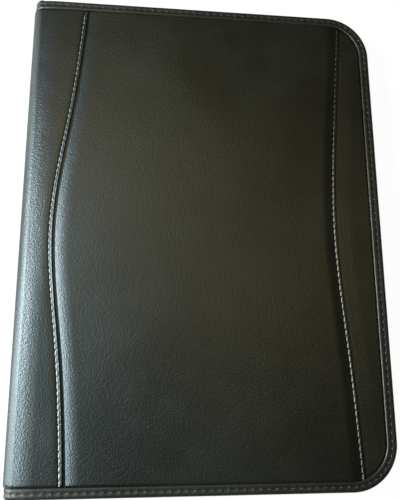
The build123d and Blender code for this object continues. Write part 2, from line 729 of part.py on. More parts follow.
FRONT_INSIDE = CLOSED_THICKNESS - DEPTH_INSIDE
POCKET_LEFT = SPINE_X + POCKET_SPINE_GAP
CARD_LEFT = POCKET_LEFT + CARD_POCKET_GAP
CARD_RIGHT = CARD_LEFT + CARD_POCKET_WIDTH
FRAME_HIGH = HALF_HEIGHT - CARD_HEAD_GAP
CARD_LOW = FRAME_HIGH - 2 * CARD_POCKET_STEP - CARD_POCKET_HEIGHT

with BuildPart() as pocket:
    with BuildSketch(Plane.XY.offset(FRONT_INSIDE - POCKET_THICK)):
        make_face(cover_outline(POCKET_INSET + POCKET_EDGE_GAP, POCKET_LEFT))
        with BuildLine():
            Polyline(
                (POCKET_LEFT, CARD_LOW - CARD_POCKET_GAP),
                (FORE_X, CARD_LOW - CARD_POCKET_GAP - POCKET_MOUTH_SLANT),
                (FORE_X, HALF_HEIGHT),
                (POCKET_LEFT, HALF_HEIGHT),
                close=True,
            )
        make_face(mode=Mode.SUBTRACT)
    extrude(amount=POCKET_THICK)
finish(pocket.part, "document_pocket")

for layer in range(3):
    with BuildPart() as card_pocket:
        with BuildSketch(Plane.XY.offset(FRONT_INSIDE - (layer + 1) * CARD_POCKET_THICK)):
            high = FRAME_HIGH - layer * CARD_POCKET_STEP
            make_face(plate_outline(CARD_LEFT, CARD_RIGHT, CARD_LOW, high))
        extrude(amount=CARD_POCKET_THICK)
    finish(card_pocket.part, f"card_pocket_{layer + 1}")

FRAME_LEFT = CARD_RIGHT + CARD_COLUMN_GAP
FRAME_RIGHT = FRAME_LEFT + WINDOW_FRAME_WIDTH

with BuildPart() as window_frame:
    with BuildSketch(Plane.XY.offset(FRONT_INSIDE - POCKET_THICK)):
        make_face(plate_outline(FRAME_LEFT, FRAME_RIGHT, CARD_LOW, FRAME_HIGH))
        make_face(
            plate_outline(
                FRAME_LEFT + WINDOW_BORDER,
                FRAME_RIGHT - WINDOW_BORDER,
                CARD_LOW + WINDOW_BORDER,
                FRAME_HIGH - WINDOW_BORDER,
            ),
            mode=Mode.SUBTRACT,
        )
    extrude(amount=POCKET_THICK)
    with BuildSketch(Plane.XY.offset(FRONT_INSIDE - WINDOW_FILM_THICK)):
        make_face(
            plate_outline(
                FRAME_LEFT + WINDOW_BORDER / 2,
                FRAME_RIGHT - WINDOW_BORDER / 2,
                CARD_LOW + WINDOW_BORDER / 2,
                FRAME_HIGH - WINDOW_BORDER / 2,
            )
        )
    extrude(amount=WINDOW_FILM_THICK, mode=Mode.SUBTRACT)
finish(window_frame.part, "card_window_frame")

with BuildPart() as window_film:
    with BuildSketch(Plane.XY.offset(FRONT_INSIDE - WINDOW_FILM_THICK)):
        make_face(
            plate_outline(
                FRAME_LEFT + WINDOW_BORDER / 2,
                FRAME_RIGHT - WINDOW_BORDER / 2,
                CARD_LOW + WINDOW_BORDER / 2,
                FRAME_HIGH - WINDOW_BORDER / 2,
            )
        )
    extrude(amount=WINDOW_FILM_THICK)
finish(window_film.part, "card_window_film")
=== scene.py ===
"""Looks of the zippered padfolio: leatherette covers, sewn bindings, zip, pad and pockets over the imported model."""

import json
import logging
import math
from dataclasses import dataclass
from enum import Enum
from typing import Callable, Optional, Sequence, Union

import bpy
import numpy as np
from mathutils import Matrix, Vector


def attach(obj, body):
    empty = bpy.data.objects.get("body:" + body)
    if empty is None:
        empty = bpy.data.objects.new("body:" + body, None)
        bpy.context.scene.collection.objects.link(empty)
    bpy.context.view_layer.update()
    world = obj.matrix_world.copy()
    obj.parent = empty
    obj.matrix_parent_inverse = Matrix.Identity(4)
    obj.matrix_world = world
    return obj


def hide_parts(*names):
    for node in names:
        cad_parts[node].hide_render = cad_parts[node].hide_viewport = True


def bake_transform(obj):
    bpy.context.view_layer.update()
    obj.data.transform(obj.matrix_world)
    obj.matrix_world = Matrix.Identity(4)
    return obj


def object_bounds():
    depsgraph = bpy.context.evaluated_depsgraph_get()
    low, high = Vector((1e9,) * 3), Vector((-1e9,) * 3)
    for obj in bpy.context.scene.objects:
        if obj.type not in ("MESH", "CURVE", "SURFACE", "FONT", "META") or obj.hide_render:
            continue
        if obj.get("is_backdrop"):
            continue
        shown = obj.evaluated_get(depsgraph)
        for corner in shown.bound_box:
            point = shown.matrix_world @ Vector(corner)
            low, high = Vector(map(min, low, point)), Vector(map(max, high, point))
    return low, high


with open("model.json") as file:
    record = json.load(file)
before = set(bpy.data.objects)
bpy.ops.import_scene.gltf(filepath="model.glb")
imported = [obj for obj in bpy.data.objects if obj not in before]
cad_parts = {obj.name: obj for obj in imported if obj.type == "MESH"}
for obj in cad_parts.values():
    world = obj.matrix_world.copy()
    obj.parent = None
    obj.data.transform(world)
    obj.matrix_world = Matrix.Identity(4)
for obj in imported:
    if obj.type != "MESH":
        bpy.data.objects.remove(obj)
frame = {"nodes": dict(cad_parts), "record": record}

logging.basicConfig(level=logging.INFO, format="%(name)s: %(message)s")
LOG = logging.getLogger("padfolio")
MM = 0.001
TURN = 2 * math.pi
QUARTER = math.pi / 2
WELD = 0.004 * MM
SHARP_ANGLE = 50.0
SOFT_ANGLE = 80.0
Array = np.ndarray
Place = Callable[[Array, Array], Array]
Line = Callable[[Array], Array]
Ride = Callable[[bpy.types.Object], object]
Colour = tuple[float, float, float]
Spot = tuple[float, float]


def roll(t: Array) -> Array:
    """Quarter-round rise from 0 at t = 0 to 1 at t = 1."""
    t = np.clip(t, 0.0, 1.0)
    return np.sqrt(np.clip(1.0 - (1.0 - t) ** 2, 0.0, 1.0))


def ease(t: Array) -> Array:
    """Smooth step from 0 to 1."""
    t = np.clip(t, 0.0, 1.0)
    return t * t * (3.0 - 2.0 * t)


def part(value: Array, start: float, stop: float) -> Array:
    """Share of the way from start to stop, held at 0 and 1."""
    return np.clip((value - start) / (stop - start), 0.0, 1.0)


def bump(value: Array, width: float) -> Array:
    """Soft bump of height 1 round zero."""
    return np.exp(-((value / width) ** 2))


def points(x: Array, y: Array, z: Array) -> Array:
    """Points from their three coordinates."""
    return np.stack([x, y, z], 1)


def level(value: float) -> Line:
    """A straight line at one level, as a function along it."""
    return lambda along: along * 0 + value


def ripple(a: Array, b: Array, size: float, seed: int) -> Array:
    """Slow irregular unevenness of hand-sewn material.

    Args:
        a: first coordinate in millimetres.
        b: second coordinate in millimetres.
        size: typical length of a wave in millimetres.
        seed: number that picks the pattern.

    Returns:
        Values of about -1 to 1.
    """
    waves, shortest, longest, damping = 7, 0.6, 1.7, 4.0
    rng = np.random.default_rng(seed)
    total = np.zeros_like(a)
    for _ in range(waves):
        angle, phase = rng.uniform(0, TURN, 2)
        length = size * rng.uniform(shortest, longest)
        total = total + np.sin(TURN * (a * math.cos(angle) + b * math.sin(angle)) / length + phase)
    return total / damping


@dataclass(frozen=True)
class Unevenness:
    """Slow unevenness: its height, the length of its waves and the number that picks its pattern."""

    height: float
    size: float
    seed: int

    def at(self, a: Array, b: Array) -> Array:
        """Height at each point."""
        return self.height * ripple(a, b, self.size, self.seed)


@dataclass(frozen=True)
class Dent:
    """A soft dent along a line, with its depth and its half-width."""

    depth: float
    width: float

    def at(self, off: Array) -> Array:
        """Depth at a distance from the line."""
        return self.depth * bump(off, self.width)


@dataclass(frozen=True)
class Wave:
    """A line that runs in a soft wave, as a natural cubic spline."""

    y: tuple[float, ...]
    x: tuple[float, ...]

    def at(self, where: Array) -> Array:
        """The x of the line at each y."""
        y, x = np.array(self.y), np.array(self.x)
        n, h = len(y), np.diff(y)
        system, right = np.eye(n), np.zeros(n)
        for i in range(1, n - 1):
            system[i, i - 1], system[i, i], system[i, i + 1] = h[i - 1], 2 * (h[i - 1] + h[i]), h[i]
            right[i] = 6 * ((x[i + 1] - x[i]) / h[i] - (x[i] - x[i - 1]) / h[i - 1])
        bend = np.linalg.solve(system, right)
        i = np.clip(np.searchsorted(y, where) - 1, 0, n - 2)
        step, p, q = h[i], y[i + 1] - where, where - y[i]
        return (
            (bend[i] * p**3 + bend[i + 1] * q**3) / (6 * step)
            + (x[i] / step - bend[i] * step / 6) * p
            + (x[i + 1] / step - bend[i + 1] * step / 6) * q
        )


@dataclass(frozen=True)
class Profile:
    """A section's line through given points, walked by share of its length."""

    across: Sequence[float]
    rise: Sequence[float]

    def at(self, share: Array) -> tuple[Array, Array]:
        """Both coordinates at each share of the way."""
        way = np.concatenate([[0], np.cumsum(np.hypot(np.diff(self.across), np.diff(self.rise)))])
        way = way / way[-1]
        return np.interp(share, way, self.across), np.interp(share, way, self.rise)


@dataclass(frozen=True)
class CaseSizes:
    """Sizes of the closed case in millimetres."""

    half_width: float = 128.0
    half_height: float = 175.0
    thickness: float = 27.0
    corner: float = 32.0
    spine_round: float = 6.5
    binding: float = 7.0
    spine_seam: Wave = Wave((-175, -87, 0, 87, 175), (-92.1, -98.7, -107.1, -97.4, -89.2))
    fore_seam: Wave = Wave((-175, -82, 0, 82, 175), (103.2, 98.0, 93.1, 97.3, 105.3))
    soft_round: Wave = Wave(
        (0, 4, 7, 9.5, 12, 14, 17.2, 21, 25, 29, 33),
        (0, 0, 0.12, 0.85, 1.5, 1.72, 1.45, 0.75, 0.24, 0, 0),
    )

    @property
    def fold_x(self) -> float:
        """Where the flat covers end and the folds beside the spine start."""
        return -self.half_width + self.spine_round

    @property
    def middle(self) -> float:
        """Height of the zip, halfway between the covers."""
        return self.thickness / 2

    @property
    def arc_x(self) -> float:
        """Centre line of the round corners across the case."""
        return self.half_width - self.corner

    @property
    def arc_y(self) -> float:
        """Centre line of the round corners along the case."""
        return self.half_height - self.corner

    @property
    def spine_flat(self) -> float:
        """Way from the spine's middle line to the start of the fold's round."""
        return self.middle - self.spine_round

    @property
    def fold_run(self) -> float:
        """Way from the spine's middle line to the end of the fold."""
        return self.spine_flat + self.spine_round * QUARTER

    def inset(self, x: Array, y: Array) -> Array:
        """Distance of a point inside the outline, which is open at the spine."""
        ax, ay = x - self.arc_x, np.abs(y) - self.arc_y
        round_part = self.corner - np.hypot(np.maximum(ax, 0), np.maximum(ay, 0))
        straight = np.minimum(self.half_width - x, self.half_height - np.abs(y))
        return np.where((ax > 0) & (ay > 0), round_part, straight)

    def fore_limit(self, y: Array, inset: float) -> Array:
        """The largest x of the outline, taken in by inset, at each y."""
        radius = self.corner - inset
        over = np.clip(np.abs(y) - self.arc_y, 0, radius)
        return self.arc_x + np.sqrt(np.clip(radius**2 - over**2, 0, None))

    def shoulder(self, run: Array) -> Array:
        """How far the soft round of the spine's edge takes the front down, beyond the fold's own round."""
        return np.clip(self.soft_round.at(np.clip(run, 0, self.soft_round.y[-1])), 0, None)

    def fold_point(self, run: Array, depth: Array) -> tuple[Array, Array]:
        """A point of the fold's section.

        Args:
            run: way from the spine's middle line, over the fold and along the cover.
            depth: distance inward from the outer face.

        Returns:
            Its x, and its height above the spine's middle line.
        """
        flat = self.spine_flat
        angle = np.clip((run - flat) / self.spine_round, 0, QUARTER)
        radius = self.spine_round - depth
        x = self.fold_x - radius * np.cos(angle) + np.maximum(run - self.fold_run, 0)
        return x, np.minimum(run, flat) + radius * np.sin(angle)


SIZES = CaseSizes()


class Body(str, Enum):
    """The bodies that new pieces ride on."""

    BACK = "back_cover"
    SPINE = "spine"
    FRONT = "front_cover"


class Side(Enum):
    """The two covers, as the sign of z from the outer face to the middle."""

    FRONT = -1
    BACK = 1

    @property
    def word(self) -> str:
        """The cover's word in names."""
        return "front" if self is Side.FRONT else "back"

    @property
    def fold(self) -> str:
        """The word of the cover's fold in names."""
        return "upper" if self is Side.FRONT else "lower"

    def height(self, depth: Array) -> Array:
        """Height at a depth from the cover's outer face."""
        return depth if self is Side.BACK else SIZES.thickness - depth

    def ride(self, obj: bpy.types.Object) -> None:
        """Lets a piece ride on the cover."""
        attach(obj, (Body.FRONT if self is Side.FRONT else Body.BACK).value)

    def bend(self, obj: bpy.types.Object) -> None:
        """Bakes a soft piece's place into its mesh; the ends of the cover's fold are worked out but not used."""
        flat, round_, top = SIZES.fold_x, SIZES.spine_round, SIZES.thickness
        if self is Side.FRONT:
            low, high = Vector((-SIZES.half_width, 0, top - round_)) * MM, Vector((flat, 0, top)) * MM
            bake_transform(obj)
        else:
            low, high = Vector((flat, 0, 0)) * MM, Vector((-SIZES.half_width, 0, round_)) * MM
            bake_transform(obj)


class End(Enum):
    """The head and the tail end of the case, as the sign of y."""

    HEAD = 1
    TAIL = -1


class Value:
    """A shader socket that takes part in plain arithmetic."""

    def __init__(self, tree: "ShaderTree", socket: bpy.types.NodeSocket) -> None:
        """Keeps a socket with its tree."""
        self.tree = tree
        self.socket = socket

    def _math(self, operation: str, first: "Number", second: "Number" = 0.0) -> "Value":
        """One Math node on two numbers or sockets."""
        return self.tree.node("ShaderNodeMath", {"operation": operation}, {0: first, 1: second})

    def __add__(self, other: "Number") -> "Value":
        """The sum."""
        return self._math("ADD", self, other)

    def __radd__(self, other: "Number") -> "Value":
        """The sum, after a number."""
        return self._math("ADD", other, self)

    def __sub__(self, other: "Number") -> "Value":
        """The difference."""
        return self._math("SUBTRACT", self, other)

    def __rsub__(self, other: "Number") -> "Value":
        """The difference from a number."""
        return self._math("SUBTRACT", other, self)

    def __mul__(self, other: "Number") -> "Value":
        """The product."""
        return self._math("MULTIPLY", self, other)

    def __rmul__(self, other: "Number") -> "Value":
        """The product, after a number."""
        return self._math("MULTIPLY", other, self)

    def __truediv__(self, other: "Number") -> "Value":
        """The quotient."""
        return self._math("DIVIDE", self, other)

    def __rtruediv__(self, other: "Number") -> "Value":
        """A number divided by the value."""
        return self._math("DIVIDE", other, self)

    def __pow__(self, other: "Number") -> "Value":
        """The power."""
        return self._math("POWER", self, other)

    def absolute(self) -> "Value":
        """The value without its sign."""
        return self._math("ABSOLUTE", self)

    def sine(self) -> "Value":
        """The sine of the value."""
        return self._math("SINE", self)

    def fraction(self) -> "Value":
        """The value's part after the point."""
        return self._math("FRACT", self)

    def below(self, limit: "Number") -> "Value":
        """1 where the value is less than the limit."""
        return self._math("LESS_THAN", self, limit)

    def above(self, limit: "Number") -> "Value":
        """1 where the value is more than the limit."""
        return self._math("GREATER_THAN", self, limit)

    def between(self, low: float, high: float, start: float = 0.0, end: float = 1.0) -> "Value":
        """The value mapped from low..high to start..end, smoothly and held at both ends."""
        return self.tree.node(
            "ShaderNodeMapRange", {"interpolation_type": "SMOOTHSTEP"},
            {"Value": self, "From Min": low, "From Max": high, "To Min": start, "To Max": end},
        )


Number = Union[Value, float]


def shade(colour: Colour, factor: float) -> Colour:
    """A darker or lighter colour."""
    return tuple(min(1.0, c * factor) for c in colour)


class ShaderTree:
    """A material and the nodes that make it."""

    def __init__(self, name: str) -> None:
        """Starts an empty material."""
        self.material = bpy.data.materials.new(name)
        self.material.use_nodes = True
        self.nodes = self.material.node_tree.nodes
        self.links = self.material.node_tree.links
        self.nodes.clear()

    def node(self, kind: str, settings: Optional[dict] = None, inputs: Optional[dict] = None,
             output: Union[int, str] = 0) -> Value:
        """Adds a node.

        Args:
            kind: the node's type.
            settings: attributes to set on it.
            inputs: values or sockets for its inputs.
            output: which output to hand back.

        Returns:
            The chosen output.
        """
        made = self.nodes.new(kind)
        for key, value in (settings or {}).items():
            setattr(made, key, value)
        for key, value in (inputs or {}).items():
            if isinstance(value, Value):
                self.links.new(value.socket, made.inputs[key])
            else:
                made.inputs[key].default_value = value
        return Value(self, made.outputs[output])

    def place(self) -> Value:
        """Object coordinates, which are the case's own frame in metres."""
        return self.node("ShaderNodeTexCoord", output="Object")

    def axes(self) -> tuple[Value, Value, Value]:
        """The three object coordinates apart."""
        split = self.nodes.new("ShaderNodeSeparateXYZ")
        self.links.new(self.place().socket, split.inputs[0])
        return Value(self, split.outputs[0]), Value(self, split.outputs[1]), Value(self, split.outputs[2])

    def noise(self, scale: float, detail: float = 2.0, roughness: float = 0.5, distortion: float = 0.0) -> Value:
        """Plain noise over the piece."""
        return self.node("ShaderNodeTexNoise", {},
                         {"Vector": self.place(), "Scale": scale, "Detail": detail, "Roughness": roughness,
                          "Distortion": distortion})

    def blend(self, first: Union[Value, Colour], second: Union[Value, Colour], share: Number) -> Value:
        """Mixes two colours.

        Args:
            first: the colour at share 0.
            second: the colour at share 1.
            share: how much of the second one shows.

        Returns:
            The mixed colour.
        """
        first, second = (c if isinstance(c, Value) else (*c, 1.0) for c in (first, second))
        return self.node("ShaderNodeMix", {"data_type": "RGBA"}, {0: share, 6: first, 7: second}, 2)

    def relief(self, height: Value, distance: float, strength: float) -> Value:
        """A bump, with the distance of a height of 1 in millimetres."""
        return self.node("ShaderNodeBump", {}, {"Height": height, "Distance": distance * MM, "Strength": strength})

    def surface(self, **inputs: Union[Number, Colour]) -> bpy.types.Material:
        """Closes the material with one Principled shader.

        Args:
            inputs: values by socket name, with underscores for blanks.

        Returns:
            The material.
        """
        named = {}
        for key, value in inputs.items():
            named[key.replace("_", " ")] = (*value, 1.0) if isinstance(value, tuple) else value
        self.close(self.node("ShaderNodeBsdfPrincipled", {}, named))
        return self.material

    def close(self, shader: Value) -> None:
        """Links a shader to the material's output."""
        out = self.nodes.new("ShaderNodeOutputMaterial")
        self.links.new(shader.socket, out.inputs["Surface"])


@dataclass(frozen=True)
class Leatherette:
    """Coated cloth with a fine pressed pebble grain and a satin top coat."""

    name: str
    colour: Colour = (0.0130, 0.0119, 0.0078)
    depth: float = 0.14
    roughness: float = 0.29
    sheen: Colour = (1.0, 1.0, 1.0)
    pebble: float = 1.1
    warp: float = 0.0003

    def make(self) -> bpy.types.Material:
        """Builds the material."""
        tree = ShaderTree(self.name)
        scale = 1.0 / (self.pebble * MM)
        push = tree.node("ShaderNodeTexNoise", {}, {"Vector": tree.place(), "Scale": scale * 0.6}, 1)
        warped = tree.node("ShaderNodeVectorMath", {"operation": "MULTIPLY_ADD"},
                           {0: push, 1: (self.warp, self.warp, self.warp), 2: tree.place()})
        cells = tree.node("ShaderNodeTexVoronoi", {"feature": "SMOOTH_F1"},
                          {"Vector": warped, "Scale": scale, "Smoothness": 0.35})
        pores = tree.noise(scale * 2.3, 3.0)
        drift = tree.noise(22.0, 3.0, 0.55)
        height = (1.0 - cells * 1.4) * (0.75 + drift * 0.5) + pores * 0.25
        dull = tree.blend(self.colour, shade(self.colour, 1.5), drift.between(0.35, 0.7))
        rough = self.roughness + (drift - 0.5) * 0.12 + cells * 0.10
        return tree.surface(Base_Color=dull, Roughness=rough, Normal=tree.relief(height, self.depth, 0.55),
                            IOR=2.0, Specular_IOR_Level=0.54, Specular_Tint=self.sheen)


@dataclass(frozen=True)
class SewingThread:
    """Twisted glossy polyester sewing thread, with painted light: its colour goes from the head colour to the lighter
    tail colour over a stretch in metres, and drops again over a last stretch at the tail.
    """

    name: str
    head: Colour
    tail: Colour
    gloss: float
    # Painted light: over the first stretch below (ends along -y, in metres) the colour goes from the head colour to
    # the lighter tail colour; over the second it drops to left_at_tail of that at the tail's end.
    paling: Spot = (-0.15, 0.13)
    dulling: Spot = (0.09, 0.165)
    left_at_tail: float = 1.0

    def make(self) -> bpy.types.Material:
        """Builds the material."""
        tree = ShaderTree(self.name)
        x, y, _ = tree.axes()
        twist = ((x + y) * 9000.0).sine()
        fuzz = tree.noise(5000.0)
        down = 0.0 - y
        # Painted light: 0 at the head, rising to 1 towards the tail, then falling to left_at_tail over the last
        # stretch.
        lit_share = down.between(*self.paling) * down.between(*self.dulling, 1.0, self.left_at_tail)
        deep = tree.blend(shade(self.head, 0.6), shade(self.tail, 0.6), lit_share)
        tint = tree.blend(tree.blend(self.head, self.tail, lit_share), deep, fuzz)
        return tree.surface(Base_Color=tint, Roughness=0.36, Normal=tree.relief(twist + fuzz, 0.05, 0.35),
                            IOR=2.0, Specular_IOR_Level=self.gloss)


@dataclass(frozen=True)
class WovenCloth:
    """Plain woven cloth: lining, zip tape or elastic, with its pitch in millimetres."""

    name: str
    colour: Colour
    pitch: float = 0.55
    depth: float = 0.05
    roughness: float = 0.8
    upright: bool = False

    def make(self) -> bpy.types.Material:
        """Builds the material."""
        tree = ShaderTree(self.name)
        x, y, z = tree.axes()
        turn = TURN / (self.pitch * MM)
        first, second = (x + y, z) if self.upright else (x, y)
        weave = (first * turn).sine() * (second * turn).sine()
        fuzz = tree.noise(1800.0, 3.0)
        tint = tree.blend(self.colour, shade(self.colour, 1.7), (weave * 0.5 + 0.5) * 0.6 + fuzz * 0.4)
        return tree.surface(Base_Color=tint, Roughness=self.roughness, Sheen_Weight=0.25,
                            Normal=tree.relief(weave + fuzz * 0.8, self.depth, 0.6))


@dataclass(frozen=True)
class LacqueredMetal:
    """Die-cast zinc under a thin black lacquer, rubbed through a little."""

    name: str
    colour: Colour = (0.028, 0.028, 0.030)

    def make(self) -> bpy.types.Material:
        """Builds the material."""
        tree = ShaderTree(self.name)
        cloud = tree.noise(260.0, 4.0, 0.6)
        tint = tree.blend(self.colour, shade(self.colour, 1.8), cloud.between(0.5, 0.8))
        return tree.surface(Base_Color=tint, Metallic=0.65, Roughness=cloud.between(0.3, 0.8, 0.24, 0.4),
                            Normal=tree.relief(tree.noise(1500.0), 0.02, 0.4), Coat_Weight=0.4,
                            Coat_Roughness=0.15)


@dataclass(frozen=True)
class MouldedPlastic:
    """Acetal of the moulded zip teeth."""

    name: str
    colour: Colour = (0.012, 0.012, 0.012)

    def make(self) -> bpy.types.Material:
        """Builds the material."""
        tree = ShaderTree(self.name)
        cloud = tree.noise(700.0, 3.0)
        return tree.surface(Base_Color=self.colour, Roughness=cloud.between(0.2, 0.8, 0.32, 0.46),
                            Normal=tree.relief(cloud, 0.03, 0.3))


@dataclass(frozen=True)
class Board:
    """Grey millboard or card with short fibres."""

    name: str
    colour: Colour

    def make(self) -> bpy.types.Material:
        """Builds the material."""
        tree = ShaderTree(self.name)
        fibre = tree.noise(900.0, 5.0, distortion=1.2)
        tint = tree.blend(self.colour, shade(self.colour, 0.72), fibre.between(0.35, 0.75))
        return tree.surface(Base_Color=tint, Roughness=0.88, Normal=tree.relief(fibre, 0.05, 0.5))


@dataclass(frozen=True)
class Paper:
    """Writing paper, ruled on its face or plain with the leaves showing at its edges. Lengths are in metres."""

    name: str
    ruled: bool
    colour: Colour = (0.86, 0.83, 0.75)
    spacing: float = 0.008
    first_line: float = 0.112
    last_line: float = -0.146
    margin: float = -0.066
    line_colour: Colour = (0.14, 0.22, 0.36)
    margin_colour: Colour = (0.45, 0.10, 0.10)

    def make(self) -> bpy.types.Material:
        """Builds the material."""
        tree = ShaderTree(self.name)
        x, y, z = tree.axes()
        fibre = tree.noise(1400.0, 4.0, 0.6)
        tint = tree.blend(self.colour, shade(self.colour, 0.95), fibre)
        if self.ruled:
            within = (y / self.spacing + 100.0).fraction()
            line = (within - 0.5).absolute().below(0.028) * y.below(self.first_line) * y.above(self.last_line)
            tint = tree.blend(tint, self.line_colour, line * 0.75)
            rule = (x - self.margin).absolute().below(0.00024)
            tint = tree.blend(tint, self.margin_colour, rule * 0.7)
        else:
            layers = (z * 42000.0).sine()
            tint = tree.blend(tint, shade(self.colour, 0.8), layers.between(0.0, 1.0, 0.0, 0.5))
        return tree.surface(Base_Color=tint, Roughness=0.82, Normal=tree.relief(fibre, 0.02, 0.4))


@dataclass(frozen=True)
class ClearFilm:
    """Clear soft plastic film."""

    name: str
    colour: Colour = (0.30, 0.32, 0.33)

    def make(self) -> bpy.types.Material:
        """Builds the material."""
        tree = ShaderTree(self.name)
        cloud = tree.noise(60.0)
        return tree.surface(Base_Color=self.colour, Roughness=cloud.between(0.3, 0.7, 0.22, 0.34), Alpha=0.14)


@dataclass(frozen=True)
class Look:
    """A material and the record's slot that it belongs to."""

    material: bpy.types.Material
    slot: str


class Finishes:
    """One look per finish, made once."""

    def __init__(self) -> None:
        """Builds every material."""
        self.skin = Look(Leatherette("pebbled_leatherette").make(), "leatherette")
        self.edge = Look(Leatherette("binding_leatherette", (0.018, 0.018, 0.0162), 0.07, 0.36,
                                     (1.0, 0.87, 0.75)).make(), "binding")
        self.pocket = Look(Leatherette("pocket_leatherette", (0.022, 0.0215, 0.020), 0.10, 0.46).make(), "pocket")
        # Spine seam thread: dark at the head, near white at the tail; the ramp is painted light, and the near-white
        # tail colour a painted highlight.
        self.thread = Look(SewingThread("seam_thread", (0.20, 0.195, 0.175), (0.93, 0.93, 0.90), 0.85).make(),
                           "binding")
        # Fore seam thread: the same thread as the spine seam's, painted darker as painted shade, with the same painted
        # light from head to tail and a drop over the last stretch at the tail.
        self.fore_thread = Look(SewingThread("shaded_fore_seam_thread", (0.035, 0.032, 0.020), (0.62, 0.555, 0.455), 0.3,
                                             paling=(-0.115, 0.03), left_at_tail=0.45).make(), "binding")
        # Binding thread: also painted a little lighter towards the tail, as painted light.
        self.dark_thread = Look(SewingThread("binding_thread", (0.085, 0.082, 0.074), (0.12, 0.12, 0.115),
                                             0.35).make(), "binding")
        self.lining = Look(WovenCloth("lining_cloth", (0.024, 0.024, 0.026)).make(), "lining")
        self.tape = Look(WovenCloth("zip_tape_cloth", (0.016, 0.016, 0.0165), 0.7, 0.07, 0.78, True).make(), "tape")
        self.elastic = Look(WovenCloth("elastic_cloth", (0.018, 0.018, 0.018), 0.9, 0.08).make(), "elastic")
        self.metal = Look(LacqueredMetal("lacquered_zinc").make(), "zip_metal")
        self.teeth = Look(MouldedPlastic("moulded_teeth").make(), "teeth")
        self.board = Look(Board("millboard", (0.42, 0.39, 0.34)).make(), "board")
        self.card = Look(Board("backing_card", (0.52, 0.44, 0.33)).make(), "card")
        self.paper = Look(Paper("paper_edges", ruled=False).make(), "paper")
        self.ruled = Look(Paper("ruled_paper", ruled=True).make(), "paper")
        self.head_tape = Look(WovenCloth("head_tape_cloth", (0.018, 0.022, 0.034), 0.5, 0.04).make(), "head_tape")
        self.film = Look(ClearFilm("clear_film").make(), "film")


@dataclass(frozen=True)
class Grid:
    """How a sheet is made up.

    columns and rows are its faces across and along, and thickness is what it gets on its hidden side. It is closed if
    its first and last column are the same line, and turned if its ways across and along make a left-handed pair with
    its shown side.
    """

    columns: int
    rows: int
    thickness: float = 0.0
    closed: bool = False
    turned: bool = False


@dataclass(frozen=True)
class Stitch:
    """Length, width and height of the thread that shows in one stitch."""

    length: float
    width: float
    height: float


